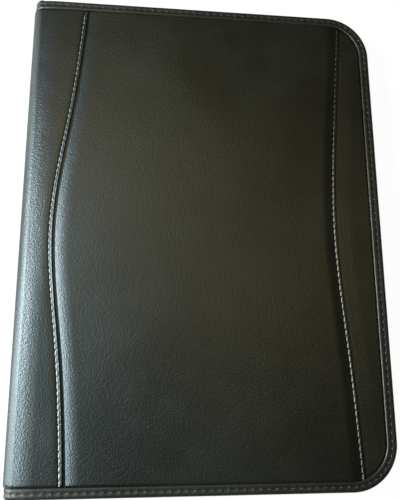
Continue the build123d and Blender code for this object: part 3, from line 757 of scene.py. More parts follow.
@dataclass
class SubAssembly:
    """Mesh work that every sub-assembly shares, with all lengths in millimetres."""

    finishes: Finishes

    @staticmethod
    def select(*objects: bpy.types.Object) -> None:
        """Selects these objects alone, and makes the first one active."""
        bpy.ops.object.select_all(action="DESELECT")
        for obj in objects:
            obj.select_set(True)
        if objects:
            bpy.context.view_layer.objects.active = objects[0]

    def tidy(self, obj: bpy.types.Object, merge: bool, angle: float = SHARP_ANGLE) -> None:
        """Merges doubles, turns faces outward and shades smooth below an angle."""
        self.select(obj)
        bpy.ops.object.mode_set(mode="EDIT")
        bpy.ops.mesh.select_all(action="SELECT")
        if merge:
            bpy.ops.mesh.remove_doubles(threshold=WELD)
            bpy.ops.mesh.select_all(action="SELECT")
        bpy.ops.mesh.normals_make_consistent(inside=False)
        bpy.ops.object.mode_set(mode="OBJECT")
        bpy.ops.object.shade_smooth_by_angle(angle=math.radians(angle))

    def sheet(self, name: str, grid: Grid, place: Place) -> bpy.types.Object:
        """Drapes a grid over a shape.

        Args:
            name: the piece's name.
            grid: how the sheet is made up.
            place: gives points for shares across and along, each 0 to 1.

        Returns:
            The piece, with its faces outward.
        """
        self.select()
        bpy.ops.mesh.primitive_grid_add(x_subdivisions=grid.columns, y_subdivisions=grid.rows, size=2.0)
        obj = bpy.context.active_object
        obj.name = obj.data.name = name
        flat = np.empty(len(obj.data.vertices) * 3)
        obj.data.vertices.foreach_get("co", flat)
        flat = flat.reshape(-1, 3)
        shaped = place((flat[:, 0] + 1) / 2, (flat[:, 1] + 1) / 2) * MM
        obj.data.vertices.foreach_set("co", shaped.reshape(-1))
        obj.data.update()
        if grid.thickness:
            thick = obj.modifiers.new("thick", "SOLIDIFY")
            thick.thickness, thick.offset = grid.thickness * MM, 1.0 if grid.turned else -1.0
            bpy.ops.object.modifier_apply(modifier=thick.name)
        self.tidy(obj, merge=grid.closed)
        return obj

    @staticmethod
    def frames(at: Array, along: Array, up: Array) -> list[Matrix]:
        """Places for copies, each with its x along a way and its z near an upward one."""
        places = []
        for point, way, out in zip(at, along, up):
            forward = Vector(way).normalized()
            side = Vector(out).cross(forward).normalized()
            places.append(Matrix.Translation(Vector(point) * MM)
                          @ Matrix((forward, side, forward.cross(side))).transposed().to_4x4())
        return places

    def repeat(self, name: str, first: bpy.types.Object, places: Sequence[Matrix], angle: float) -> bpy.types.Object:
        """Copies a shape to every place, each copy with its own mesh, and joins them.

        Args:
            name: the joined piece's name.
            first: the shape, modelled round the origin.
            places: where the copies go.
            angle: edges sharper than this stay sharp.

        Returns:
            The joined piece.
        """
        copies = [first]
        for _ in places[1:]:
            twin = first.copy()
            twin.data = first.data.copy()
            bpy.context.collection.objects.link(twin)
            copies.append(twin)
        for obj, matrix in zip(copies, places):
            obj.data.transform(matrix)
        self.select(*copies)
        bpy.ops.object.join()
        first.name = first.data.name = name
        self.tidy(first, merge=False, angle=angle)
        return first

    def stitches(self, name: str, at: Array, along: Array, up: Array, stitch: Stitch) -> bpy.types.Object:
        """Sets one sewn stitch at each place.

        Args:
            name: the piece's name.
            at: middle points of the stitches.
            along: their directions.
            up: the surface's outward normals there.
            stitch: size of one stitch.

        Returns:
            All the stitches as one piece.
        """
        fullness, dive = 0.6, 0.22
        self.select()
        bpy.ops.mesh.primitive_uv_sphere_add(segments=8, ring_count=6, radius=1.0, rotation=(0.0, QUARTER, 0.0))
        first = bpy.context.active_object
        bpy.ops.object.transform_apply(location=False, rotation=True, scale=False)
        for vert in first.data.vertices:
            x, y, z = vert.co
            run = math.copysign(abs(x) ** fullness, x) * stitch.length / 2
            vert.co = Vector((run, y * stitch.width / 2, (z / 2 - dive * x * x) * stitch.height)) * MM
        return self.repeat(name, first, self.frames(at, along, up), SOFT_ANGLE)

    def dress(self, obj: bpy.types.Object, look: Look, ride: Ride, *stands_for: str) -> None:
        """Finishes a piece.

        Args:
            obj: the piece.
            look: its material.
            ride: sets what it moves with.
            stands_for: CAD nodes that it stands for.
        """
        obj.data.materials.clear()
        obj.data.materials.append(look.material)
        if stands_for:
            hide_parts(*stands_for)
        ride(obj)
        LOG.info("made %s with %d faces", obj.name, len(obj.data.polygons))

    def drape(self, name: str, grid: Grid, place: Place, look: Look, ride: Ride, *stands_for: str) -> None:
        """Makes a sheet and finishes it, with the arguments of sheet and dress."""
        self.dress(self.sheet(name, grid, place), look, ride, *stands_for)


@dataclass
class Covering(SubAssembly):
    """The outer leatherette: front strip, padded panel, edge strip, back and the folds round the spine.

    Depths are measured inward from the outer face, and pitches are those of the stitches.
    """

    skin: float = 0.8
    lip: float = 1.75
    lip_round: float = 0.45
    lip_drop: Spot = (0.5, 1.2)
    groove: float = 1.55
    bound_dip: float = 1.7
    bound_width: float = 1.5
    deepest: float = 2.45
    calm: float = 8.0
    spine_dent: Dent = Dent(0.62, 0.85)
    hem_dent: Dent = Dent(0.42, 1.1)
    hem_pull: Dent = Dent(0.07, 3.2)
    edge_dent: Dent = Dent(0.25, 2.2)
    strip_waves: Unevenness = Unevenness(0.12, 42.0, 3)
    back_waves: Unevenness = Unevenness(0.05, 60.0, 8)
    panel_waves: Unevenness = Unevenness(0.10, 55.0, 11)
    edge_waves: Unevenness = Unevenness(0.08, 40.0, 17)
    panel_base: float = 2.25
    panel_height: float = 2.35
    panel_rise: float = 9.5
    panel_slope: float = 9.0
    hem_share: float = 0.44
    crown: float = 0.45
    crown_reach: Spot = (108.0, 170.0)
    edge_level: float = 1.9
    edge_bank: float = 0.4
    edge_gap: float = 2.54
    edge_skin: float = 0.7
    spine_pitch: float = 4.2
    fore_pitch: float = 4.5

    def margin(self, x: Array, y: Array) -> Array:
        """Depth of the skin near the bindings, where it dips under them."""
        return self.bound_dip * (1.0 - roll((SIZES.inset(x, y) - SIZES.binding) / self.bound_width))

    def front_strip(self) -> None:
        """The strip beside the spine, from the spine's middle line to its sewn lip at the groove."""
        half, fold_start, fold_end, lip_start, lip_end = 170.5, 0.12, 0.34, 0.88, 0.96

        def place(u: Array, v: Array) -> Array:
            """A point of the strip."""
            y = half * (2 * v - 1)
            seam = SIZES.spine_seam.at(y)
            width = seam + self.lip - self.lip_round - SIZES.fold_x
            run = np.interp(u, [0, fold_start, fold_end], [0, SIZES.spine_flat, SIZES.fold_run])
            run = run + part(u, fold_end, lip_start) * width
            x, _ = SIZES.fold_point(run, np.zeros_like(u))
            off = x - seam
            sewn = self.spine_dent.at(off) * (0.78 + 0.22 * np.cos(TURN * y / self.spine_pitch))
            uneven = self.strip_waves.at(x, y) * ease((x - SIZES.fold_x) / self.calm)
            depth = np.clip(sewn + uneven + self.margin(np.zeros_like(x), y), 0, 2.4)
            depth = np.minimum(depth + 0.25 * ease((off + 5) / 6) + SIZES.shoulder(run), self.deepest)
            x, rise = SIZES.fold_point(run, depth)
            turn = part(u, lip_start, lip_end) * QUARTER
            x = x + self.lip_round * np.sin(turn)
            rolled, tucked = self.lip_drop
            rise = rise - rolled * (1 - np.cos(turn)) - tucked * part(u, lip_end, 1.0)
            return points(x, y, SIZES.middle + rise)
        self.drape("front_spine_strip_skin", Grid(66, 330, self.skin), place, self.finishes.skin, Side.FRONT.bend,
                   "front_spine_strip", "spine_panel")

    def back_skin(self) -> None:
        """The back panel, from the spine's middle line round the fold to the bound edges."""
        half, under, fold_start, fold_end = 169.0, 6.0, 0.08, 0.22

        def place(u: Array, v: Array) -> Array:
            """A point of the panel."""
            y = half * (2 * v - 1)
            run = np.interp(u, [0, fold_start, fold_end], [0, SIZES.spine_flat, SIZES.fold_run])
            run = run + part(u, fold_end, 1.0) * (SIZES.fore_limit(y, under) - SIZES.fold_x)
            x, _ = SIZES.fold_point(run, np.zeros_like(u))
            uneven = self.back_waves.height + self.back_waves.at(x, y) * ease((x - SIZES.fold_x) / self.calm)
            x, rise = SIZES.fold_point(run, self.margin(x, y) + uneven)
            return points(x, y, SIZES.middle - rise)
        self.drape("back_panel_skin", Grid(120, 210, self.skin, turned=True), place, self.finishes.skin,
                   Side.BACK.bend, "back_panel")

    def panel_top(self, x: Array, y: Array) -> Array:
        """Height of the padded panel's face."""
        left = x - SIZES.spine_seam.at(y) - self.lip - self.groove
        right = SIZES.fore_seam.at(y) - x
        inside = SIZES.inset(x, y) - SIZES.binding
        step, pad = 0.42, 1 - (1 - part(left, 0, self.panel_rise)) ** 2
        swell = (step * roll(left / 0.4) + (1 - step) * pad) * roll(inside / 1.7)
        fall = self.hem_share + (1 - self.hem_share) * ease(right / self.panel_slope) ** 0.9
        hem = self.hem_share * roll((right + self.lip) / 0.9)
        shape = swell * np.where(right > 0, fall, hem)
        wide, tall = self.crown_reach
        crown = self.crown * np.clip(1 - (x / wide) ** 2, 0, 1) * np.clip(1 - (y / tall) ** 2, 0, 1)
        beat = TURN * y / self.fore_pitch
        sewn = self.hem_dent.at(right) * (0.7 + 0.3 * np.cos(beat)) * ease(inside / 3)
        pull = self.hem_pull.at(right - 4) * np.cos(beat / 2.0 + ripple(x * 0, y, 50, 5))
        uneven = self.panel_waves.at(x, y) * ease(left / 12) * ease(right / 12)
        base = SIZES.thickness - self.panel_base
        return base + (self.panel_height + crown + pull) * shape - sewn + uneven

    def main_panel(self) -> None:
        """The padded panel between both seams, with its padding."""
        half, under = 169.6, 5.2
        stops = [0, 0.04, 0.10, 0.18, 0.28, 0.72, 0.86, 0.95, 1.0]
        shares = [0, 0.0135, 0.0165, 0.033, 0.07, 0.90, 0.965, 0.992, 1.0]

        def place(u: Array, v: Array) -> Array:
            """A point of the panel, with more of the grid's lines where it turns down."""
            y = half * (2 * np.interp(v, [0, 0.06, 0.94, 1], [0, 0.03, 0.97, 1]) - 1)
            start = SIZES.spine_seam.at(y) + 0.5
            finish = np.minimum(SIZES.fore_seam.at(y) + self.lip, SIZES.fore_limit(y, under))
            x = start + (finish - start) * np.interp(u, stops, shares)
            tucked = SIZES.thickness - self.edge_level - 0.1
            return points(x, y, np.where(u > 0.9999, tucked, self.panel_top(x, y)))

        def ride(obj: bpy.types.Object) -> None:
            """Lets the panel ride on the front cover."""
            Side.FRONT.ride(obj)
        self.drape("front_main_panel_skin", Grid(96, 300, self.skin), place, self.finishes.skin, ride,
                   "front_main_panel", "front_padding")

    def edge_strip(self) -> None:
        """The lower strip along the fore-edge, under the panel's hem, with a dark gap before the binding."""
        half, under, bank_width, bank_start, gap_inset = 168.8, 5.6, 3.4, 0.58, 8.05

        def place(u: Array, v: Array) -> Array:
            """A point of the strip, with more of the grid's lines beside the binding."""
            y = half * (2 * np.interp(v, [0, 0.15, 0.85, 1], [0, 0.035, 0.965, 1]) - 1)
            finish = SIZES.fore_limit(y, under)
            start = np.minimum(SIZES.fore_seam.at(y) + 0.4, finish - 0.2)
            bank = np.maximum(finish - bank_width, (start + finish) / 2)
            x = start + (bank - start) * part(u, 0, bank_start) + (finish - bank) * part(u, bank_start, 1)
            beyond = x - SIZES.fore_seam.at(y) - self.lip
            depth = self.edge_level + self.edge_dent.at(beyond) - self.edge_waves.at(x, y)
            depth = depth - self.edge_bank * ease((beyond - 2) / 10)
            gap = 1 - ease((SIZES.inset(x, y) - gap_inset) / 0.4)
            return points(x, y, SIZES.thickness - depth - (self.edge_gap - depth) * gap)
        self.drape("front_edge_strip_skin", Grid(42, 300, self.edge_skin), place, self.finishes.skin,
                   Side.FRONT.ride, "front_edge_strip")

    def seam_thread(self, name: str, seam: Wave, pitch: float, length: float, look: Look, height: Place) -> None:
        """The thread of one wavy seam.

        Args:
            name: the piece's name.
            seam: the seam's line.
            pitch: distance between stitches.
            length: length of a stitch.
            look: its finish.
            height: gives the thread's height at each x and y.
        """
        reach, slant = 165.5, 0.09
        y = np.arange(-reach, reach + 0.1, pitch)
        x = seam.at(y) - 0.1
        zero = np.zeros_like(y)
        along = points(seam.at(y + 0.5) - seam.at(y - 0.5) + slant, zero + 1, zero)
        threads = self.stitches(name, points(x, y, height(x, y)), along, points(zero, zero, zero + 1),
                                Stitch(length, 1.15, 0.9))
        self.dress(threads, look, Side.FRONT.ride)

    def strip_thread_top(self, x: Array, y: Array) -> Array:
        """Height of the thread in the strip's seam."""
        return SIZES.thickness - self.spine_dent.depth - 0.6 * self.margin(x * 0, y)

    def panel_thread_top(self, x: Array, y: Array) -> Array:
        """Height of the thread in the panel's seam."""
        return self.panel_top(x, y) + 0.10

    def build(self) -> None:
        """Makes all the covering."""
        self.front_strip()
        self.main_panel()
        self.edge_strip()
        self.back_skin()
        self.seam_thread("spine_seam_stitches", SIZES.spine_seam, self.spine_pitch, 4.25, self.finishes.thread,
                         self.strip_thread_top)
        self.seam_thread("fore_seam_stitches", SIZES.fore_seam, self.fore_pitch, 4.4, self.finishes.fore_thread,
                         self.panel_thread_top)


@dataclass(frozen=True)
class EdgePath:
    """A line inside the case's edge, at a distance from it, from the spine's tail end round to its head end."""

    inset: float
    start: float

    @property
    def bend(self) -> float:
        """Radius of the line's corners."""
        return SIZES.corner - self.inset

    @property
    def length(self) -> float:
        """Length of the line."""
        return 2 * (SIZES.arc_x - self.start) + 2 * SIZES.arc_y + self.bend * math.pi

    def at(self, s: Array) -> tuple[Array, Array, Array, Array]:
        """A point of the line and the way inward from it.

        Args:
            s: way along the line.

        Returns:
            x and y of the point, and x and y of the inward way.
        """
        flat, side = SIZES.arc_x - self.start, 2 * SIZES.arc_y
        turn = self.bend * QUARTER
        first = np.clip((s - flat) / self.bend, 0, QUARTER)
        second = np.clip((s - flat - turn - side) / self.bend, 0, QUARTER)
        angle = first + second
        nx, ny = -np.sin(angle), np.cos(angle)
        x = self.start + np.minimum(s, flat) - np.maximum(s - flat - 2 * turn - side, 0)
        y = -SIZES.arc_y + np.clip(s - flat - turn, 0, side)
        return x - self.bend * nx, y - self.bend * ny, nx, ny


@dataclass
class EdgeBinding(SubAssembly):
    """The sewn leatherette tape round three edges of each cover and over the spine's ends."""

    line: EdgePath = EdgePath(0.0, SIZES.fold_x)
    tape: float = 0.7
    turn_in: float = 2.6
    cover_depth: float = 6.6
    fore_widening: float = 0.05
    softening_share: float = 0.6
    stitch_line: float = 3.7
    stitch_depth: float = 0.98
    pitch: float = 5.3
    stitch: Stitch = Stitch(2.2, 0.8, 0.6)
    stitch_dent: Dent = Dent(0.16, 1.3)
    cover_waves: Unevenness = Unevenness(0.06, 30.0, 21)
    fold_waves: Unevenness = Unevenness(0.06, 30.0, 23)

    def section(self, t: Array, deepest: float) -> tuple[Array, Array]:
        """The tape's section, from its inner edge on the outer face over the case's edge to the inside.

        Args:
            t: share of the way, 0 to 1.
            deepest: depth of the face inside.

        Returns:
            Distance from the case's edge, and depth from its outer face.
        """
        width = SIZES.binding
        inset = [width - 0.9, width - 0.08, width, width - 0.12, width - 0.45, 5.2, 4.5, 3.7, 2.9, 2.2, 1.5, 0.95,
                 0.45, 0.12, 0.0, 0.0, 0.12, 0.6, 1.5, 3.5, width - 0.8, width - 0.1, width]
        outside = [1.75, 1.60, 1.38, 1.08, 0.88, 0.78, 0.82, 0.92, 0.80, 0.78, 0.90, 1.12, 1.50, 2.0]
        inside = np.array([0.45, 0.75, 0.9, 0.97, 1.0, 1.0, 1.0, 0.98, 0.94])
        return Profile(inset, [*outside, *(self.turn_in + (deepest - self.turn_in) * inside)]).at(t)

    def pucker(self, s: Array, inset: Array, waves: Unevenness) -> Array:
        """How far the stitches draw the tape in."""
        drawn = self.stitch_dent.at(inset - self.stitch_line) * (1 + np.cos(TURN * s / self.pitch))
        return drawn + waves.at(s, inset * 3)

    def softening(self, side: Side, run: Array) -> Array:
        """How far the tape follows the soft round of the front cover's edge."""
        return (self.softening_share if side is Side.FRONT else 0.0) * SIZES.shoulder(run)

    def cover_tape(self, side: Side) -> None:
        """The tape round one cover, with its stitches."""
        def softening(x: Array) -> Array:
            """How far the tape goes down at an x."""
            return self.softening(side, SIZES.fold_run + x - SIZES.fold_x)

        def place(u: Array, v: Array) -> Array:
            """A point of the tape."""
            s = v * self.line.length
            inset, depth = self.section(u, self.cover_depth)
            x, y, nx, ny = self.line.at(s)
            drawn, outer = self.pucker(s, inset, self.cover_waves), u < 0.5
            depth = depth + np.where(outer, drawn + softening(x), -drawn)
            inset = inset * np.where(outer, 1 + self.fore_widening * nx**2, 1)
            return points(x + nx * inset, y + ny * inset, side.height(depth))
        grid = Grid(34, 620, self.tape, turned=side is Side.BACK)
        self.drape(f"{side.word}_binding_tape", grid, place, self.finishes.edge, side.ride, f"{side.word}_binding")
        s = np.arange(self.pitch / 2, self.line.length, self.pitch)
        x, y, nx, ny = self.line.at(s)
        at = points(x + nx * self.stitch_line, y + ny * self.stitch_line,
                    side.height(self.stitch_depth + softening(x)))
        threads = self.stitches(f"{side.word}_binding_stitches", at, points(ny, -nx, s * 0),
                                points(s * 0, s * 0, s * 0 - side.value), self.stitch)
        self.dress(threads, self.finishes.dark_thread, side.ride)

    def fold_tape(self, side: Side, end: End) -> None:
        """The tape over one fold of the spine, from the spine's middle line to the cover, with its stitches."""
        total, where = SIZES.fold_run + 0.4, end.name.lower()
        spine_depth, fold_depth = 6.0, 4.3
        shift = SIZES.fold_run % self.pitch

        def spot(run: Array, inset: Array, depth: Array) -> Array:
            """A point over the fold."""
            x, rise = SIZES.fold_point(run, depth)
            return points(x, end.value * (SIZES.half_height - inset), SIZES.middle - side.value * rise)

        def place(u: Array, v: Array) -> Array:
            """A point of the tape."""
            run = v * total
            inset, thin = self.section(u, fold_depth)
            _, full = self.section(u, spine_depth)
            depth = full + (thin - full) * ease((run - 5.5) / 3.0)
            drawn = self.pucker(run - shift, inset, self.fold_waves) + self.softening(side, run)
            return spot(run, inset, depth + np.where(u < 0.5, drawn, 0))
        grid = Grid(34, 26, self.tape, turned=(side is Side.FRONT) == (end is End.HEAD))
        self.drape(f"spine_{where}_tape_{side.fold}", grid, place, self.finishes.edge, side.bend,
                   f"spine_{where}_binding")
        run = np.arange(shift - self.pitch / 2, total, self.pitch)
        run = run[(run > 1.3) & (run < 6.0)]
        line, depth = np.full_like(run, self.stitch_line), np.full_like(run, self.stitch_depth)
        at = spot(run, line, depth)
        threads = self.stitches(f"spine_{where}_stitches_{side.fold}", at, spot(run + 0.2, line, depth) - at,
                                at - spot(run, line, depth + 1.0), self.stitch)
        self.dress(threads, self.finishes.dark_thread, side.bend)

    def build(self) -> None:
        """Makes the tape of both covers and of the spine's ends."""
        for side in Side:
            self.cover_tape(side)
            for end in End:
                self.fold_tape(side, end)


@dataclass
class ZipFastener(SubAssembly):
    """Woven tapes with their beads, and the moulded teeth of both sides."""

    track: EdgePath = EdgePath(7.4, -117.5)
    cloth: float = 0.5
    bead_height: float = 2.35
    bead: Spot = (0.82, 0.72)
    waves: Unevenness = Unevenness(0.10, 45.0, 31)
    tooth_pitch: float = 3.0
    tooth_count: int = 255
    chain_start: float = 5.0

    def tape(self, side: Side) -> None:
        """One tape: its sewn flange under the binding, its upright wall and the bead at its edge."""
        section = Profile([-3.6, -1.2, -0.5, -0.1, 0.0, 0.0, 0.0], [8.0, 8.0, 7.85, 7.3, 6.4, 3.5, 1.65])

        def spot(s: Array, off: Array, rise: Array) -> Array:
            """A point beside the track."""
            x, y, nx, ny = self.track.at(s)
            return points(x + nx * off, y + ny * off, SIZES.middle - side.value * rise)

        def wall(u: Array, v: Array) -> Array:
            """A point of the tape."""
            s = v * self.track.length
            off, rise = section.at(u)
            return spot(s, off + self.waves.at(s, u * 20) * np.sin(math.pi * part(u, 0.45, 1)), rise)

        def bead(u: Array, v: Array) -> Array:
            """A point of the bead."""
            wide, tall = self.bead
            return spot(v * self.track.length, wide * np.cos(TURN * u), self.bead_height + tall * np.sin(TURN * u))
        name, look = f"zip_tape_{side.word}", self.finishes.tape
        self.drape(f"{name}_cloth", Grid(20, 420, self.cloth), wall, look, side.ride, name)
        self.drape(f"{name}_bead", Grid(10, 420, closed=True), bead, look, side.ride)

    def teeth(self, side: Side) -> None:
        """The moulded teeth of one side, each clamped round the bead."""
        levels = [-3.2, -3.2, -3.0, -1.5, -1.1, 0.75, 1.0, 1.0]
        wide = [0.0, 0.55, 0.75, 0.75, 0.52, 0.56, 0.42, 0.0]
        thick = [0.0, 0.95, 1.22, 1.22, 1.0, 1.05, 0.85, 0.0]
        ring_x = [1, 0.72, 0, -0.72, -1, -0.72, 0, 0.72, 1]
        ring_y = [0, 0.9, 1, 0.9, 0, -0.9, -1, -0.9, 0]

        def shape(u: Array, v: Array) -> Array:
            """A point of one tooth."""
            row, turn = np.linspace(0, 1, len(levels)), np.linspace(0, 1, len(ring_x))
            return points(np.interp(u, turn, ring_x) * np.interp(v, row, wide),
                          np.interp(u, turn, ring_y) * np.interp(v, row, thick), np.interp(v, row, levels))
        name = f"zip_teeth_{side.word}"
        first = self.sheet(f"{name}_moulded", Grid(len(ring_x) - 1, len(levels) - 1, closed=True), shape)
        shift = 0.0 if side is Side.BACK else self.tooth_pitch / 2
        s = self.chain_start + shift + self.tooth_pitch * np.arange(self.tooth_count)
        x, y, nx, ny = self.track.at(s)
        zero = s * 0
        places = self.frames(points(x, y, zero + SIZES.middle), points(ny, -nx, zero),
                             points(zero, zero, zero + side.value))
        self.dress(self.repeat(first.name, first, places, SHARP_ANGLE), self.finishes.teeth, side.ride, name)

    @staticmethod
    def soften() -> None:
        """Breaks the sharp edges of the slider, its bail and its pull."""
        for node, width in (("zip_slider", 0.45), ("slider_bail", 0.4), ("pull_tab", 0.3)):
            edge = frame["nodes"][node].modifiers.new("soft_edge", "BEVEL")
            edge.width, edge.segments, edge.limit_method = width * MM, 3, "ANGLE"
            edge.angle_limit = math.radians(35)

    def build(self) -> None:
        """Makes both sides of the zip."""
        for side in Side:
            self.tape(side)
            self.teeth(side)
        self.soften()


@dataclass
class FoldLining(SubAssembly):
    """The lining that follows the hollow of each fold and covers the spine inside."""

    cloth: float = 0.4
    half: float = 170.0
    waves: Unevenness = Unevenness(0.07, 24.0, 41)

    def build(self) -> None:
        """Makes both halves, which meet at the spine's middle line."""
        section = Profile([-122.85, -122.85, -123.1, -123.3, -122.9, -121.6, -120.0, -118.6, -117.0, -114.5],
                          [0.0, 5.0, 7.0, 8.6, 9.6, 9.9, 9.3, 8.55, 8.27, 8.24])
        for side in Side:
            def place(u: Array, v: Array, sign: int = -side.value) -> Array:
                """A point of one half."""
                y = self.half * (2 * v - 1)
                x, rise = section.at(u)
                soft = self.waves.at(y, x * 4) * bump(u - 0.55, 0.2)
                return points(x - soft, y, SIZES.middle + sign * (rise + soft))
            self.drape(f"spine_lining_{side.fold}", Grid(30, 150, self.cloth, turned=side is Side.FRONT), place,
                       self.finishes.lining, side.bend, "spine_lining")


@dataclass(frozen=True)
class FlatPanel:
    """A soft panel with turned edges, on the inside of a cover.

    left and low are levels, right gives its x at each y and high its y at each x. under and face are the depths of its
    underside and its face, edge is the width over which its edges turn down, and wave the height of its unevenness.
    """

    columns: int
    rows: int
    left: float
    right: Line
    low: float
    high: Line
    under: float
    face: float
    edge: float
    wave: float

    @staticmethod
    def spread(u: Array) -> Array:
        """Puts more of the grid's lines near both edges."""
        return np.interp(u, [0, 0.12, 0.88, 1], [0, 0.014, 0.986, 1])

    def at(self, u: Array, v: Array, seed: int) -> tuple[Array, Array, Array]:
        """A point of the panel.

        Args:
            u: share of the way across.
            v: share of the way along.
            seed: number that picks its unevenness.

        Returns:
            Its x, its y and its depth.
        """
        across, along = self.spread(u), self.spread(v)
        guess = self.left + (self.right(np.full_like(u, self.low)) - self.left) * across
        y = self.low + (self.high(guess) - self.low) * along
        x = self.left + (self.right(y) - self.left) * across
        y = self.low + (self.high(x) - self.low) * along
        gap = np.minimum(np.minimum(x - self.left, self.right(y) - x), np.minimum(y - self.low, self.high(x) - y))
        depth = self.under + (self.face - self.under) * roll(gap / self.edge)
        return x, y, depth - self.wave * (1 + ripple(x, y, 38, seed)) * ease(gap / 6)


@dataclass
class Interior(SubAssembly):
    """Flat pieces that lie on the inside of a cover."""

    side: Side = Side.BACK
    stitch_pitch: float = 3.6
    stitch: Stitch = Stitch(2.592, 0.6, 0.45)

    def panel(self, name: str, shape: FlatPanel, look: Look, *stands_for: str) -> None:
        """Makes a soft panel.

        Args:
            name: the piece's name, whose length picks its unevenness.
            shape: its sizes.
            look: its finish.
            stands_for: CAD nodes that it stands for.
        """
        def place(u: Array, v: Array) -> Array:
            """A point of the panel."""
            x, y, depth = shape.at(u, v, len(name))
            return points(x, y, self.side.height(depth))
        thickness = min(0.5, (shape.face - shape.under) * 0.7)
        grid = Grid(shape.columns, shape.rows, thickness, turned=self.side is Side.FRONT)
        self.drape(name, grid, place, look, self.side.ride, *stands_for)

    def sew(self, name: str, corners: Sequence[Spot], depth: float) -> None:
        """Sews along a line of straight runs on a panel's face.

        Args:
            name: the piece's name.
            corners: x and y of the line's corners.
            depth: depth of the face.
        """
        at, along = [], []
        for start, stop in zip(corners, corners[1:]):
            way = np.array(stop) - np.array(start)
            count = max(1, int(np.hypot(*way) / self.stitch_pitch))
            for number in range(count):
                middle = np.array(start) + way * (number + 0.5) / count
                at.append((*middle, self.side.height(depth)))
                along.append((*way, 0.0))
        up = np.tile([0.0, 0.0, self.side.value], (len(at), 1))
        threads = self.stitches(name, np.array(at), np.array(along), up, self.stitch)
        self.dress(threads, self.finishes.dark_thread, self.side.ride)

    def lining(self) -> None:
        """The cover's lining cloth."""
        name = f"{self.side.word}_lining"
        shape = FlatPanel(60, 80, SIZES.fold_x + 3.2, lambda y: SIZES.fore_limit(y, 4.5), -170.4, level(170.4),
                          4.65, 5.18, 0.6, 0.03)
        self.panel(f"{name}_cloth", shape, self.finishes.lining, name)


@dataclass
class BackInside(Interior):
    """The writing pad in its slot, and the pen loop, on the back cover."""

    leaves: int = 11
    pad_bottom: float = 6.84
    pad_top: float = 12.28
    pad_corner: Spot = (-95.0, -152.0)
    pad_size: Spot = (210.0, 296.6)
    unevenness: float = 0.22
    corner_lift: float = 2.2
    loop_radius: float = 5.75
    loop_middle: Spot = (-110.5, 11.2)

    def slot_panel(self) -> None:
        """The leatherette panel that the pad's card slides under."""
        shape = FlatPanel(60, 80, -99.5, lambda y: np.minimum(119.5, SIZES.fore_limit(y, 8.3)), -156.5, level(136.0),
                          5.25, 6.78, 1.8, 0.04)
        self.panel("pad_slot_panel_skin", shape, self.finishes.pocket, "pad_slot_panel")
        self.sew("pad_slot_stitches", [(-97.2, 134.0), (-97.2, -154.2), (104.0, -154.2), (112.0, -148.0),
                                       (117.0, -139.0), (117.0, 134.0)], 6.72)

    def pad(self) -> None:
        """The leaves of the writing pad, the top one lifted a little at a corner."""
        step = (self.pad_top - self.pad_bottom) / self.leaves
        (left, low), (width, height) = self.pad_corner, self.pad_size
        rng = np.random.default_rng(5)
        for number in range(1, self.leaves + 1):
            last = number == self.leaves
            shift = rng.uniform(-self.unevenness, self.unevenness, 2)
            lift_height = self.corner_lift if last else 0.0
            base = self.pad_bottom + step * number

            def place(u: Array, v: Array) -> Array:
                """A point of the leaf."""
                lift = lift_height * (part(u, 0.72, 1) * part(v, 0.16, 0)) ** 1.5
                return points(left + width * u + shift[0] - 0.15 * lift, low + height * v + shift[1] + 0.15 * lift,
                              base + lift)
            columns, rows = (40, 56) if last else (4, 4)
            self.drape(f"pad_leaf_{number:02d}", Grid(columns, rows, step * 0.86), place,
                       self.finishes.ruled if last else self.finishes.paper, self.side.ride,
                       *(["writing_pad_sheets"] if last else []))

    def head_tape(self) -> None:
        """The tape glued over the pad's head."""
        section = Profile([127.0, 135.0, 143.8, 144.8, 145.25, 145.3, 145.3],
                          [12.5, 12.55, 12.55, 12.4, 11.9, 10.5, 6.9])
        left, width = -95.2, 210.4

        def place(u: Array, v: Array) -> Array:
            """A point of the tape."""
            return points(left + width * v, *section.at(u))
        self.drape("pad_head_tape_cloth", Grid(24, 40, 0.2, turned=True), place, self.finishes.head_tape,
                   self.side.ride, "pad_head_tape")

    def pen_loop(self) -> None:
        """The elastic loop for a pen, with its sewn flange."""
        turn = np.linspace(-QUARTER, 3 * QUARTER - 0.12, 40)
        x, z = self.loop_middle
        section = Profile([-101.6, -104.5, -107.5, *(x + self.loop_radius * np.cos(turn)), -108.0, -104.5, -101.8],
                          [5.42, 5.42, 5.42, *(z + self.loop_radius * np.sin(turn)), 5.9, 5.95, 5.95])
        tail, width, ribs, rib_height = 17.0, 26.0, 9, 0.075

        def place(u: Array, v: Array) -> Array:
            """A point of the loop."""
            across, rise = section.at(u)
            return points(across + rib_height * np.cos(TURN * v * ribs) * np.sin(u * 3), tail + width * v, rise)
        self.drape("pen_loop_elastic", Grid(72, 40, 0.45), place, self.finishes.elastic, self.side.ride, "pen_loop")
        self.sew("pen_loop_stitches", [(-103.0, 18.2), (-103.0, 41.8)], 6.05)

    def build(self) -> None:
        """Makes the inside of the back cover."""
        self.lining()
        self.slot_panel()
        self.pad()
        self.head_tape()
        self.pen_loop()


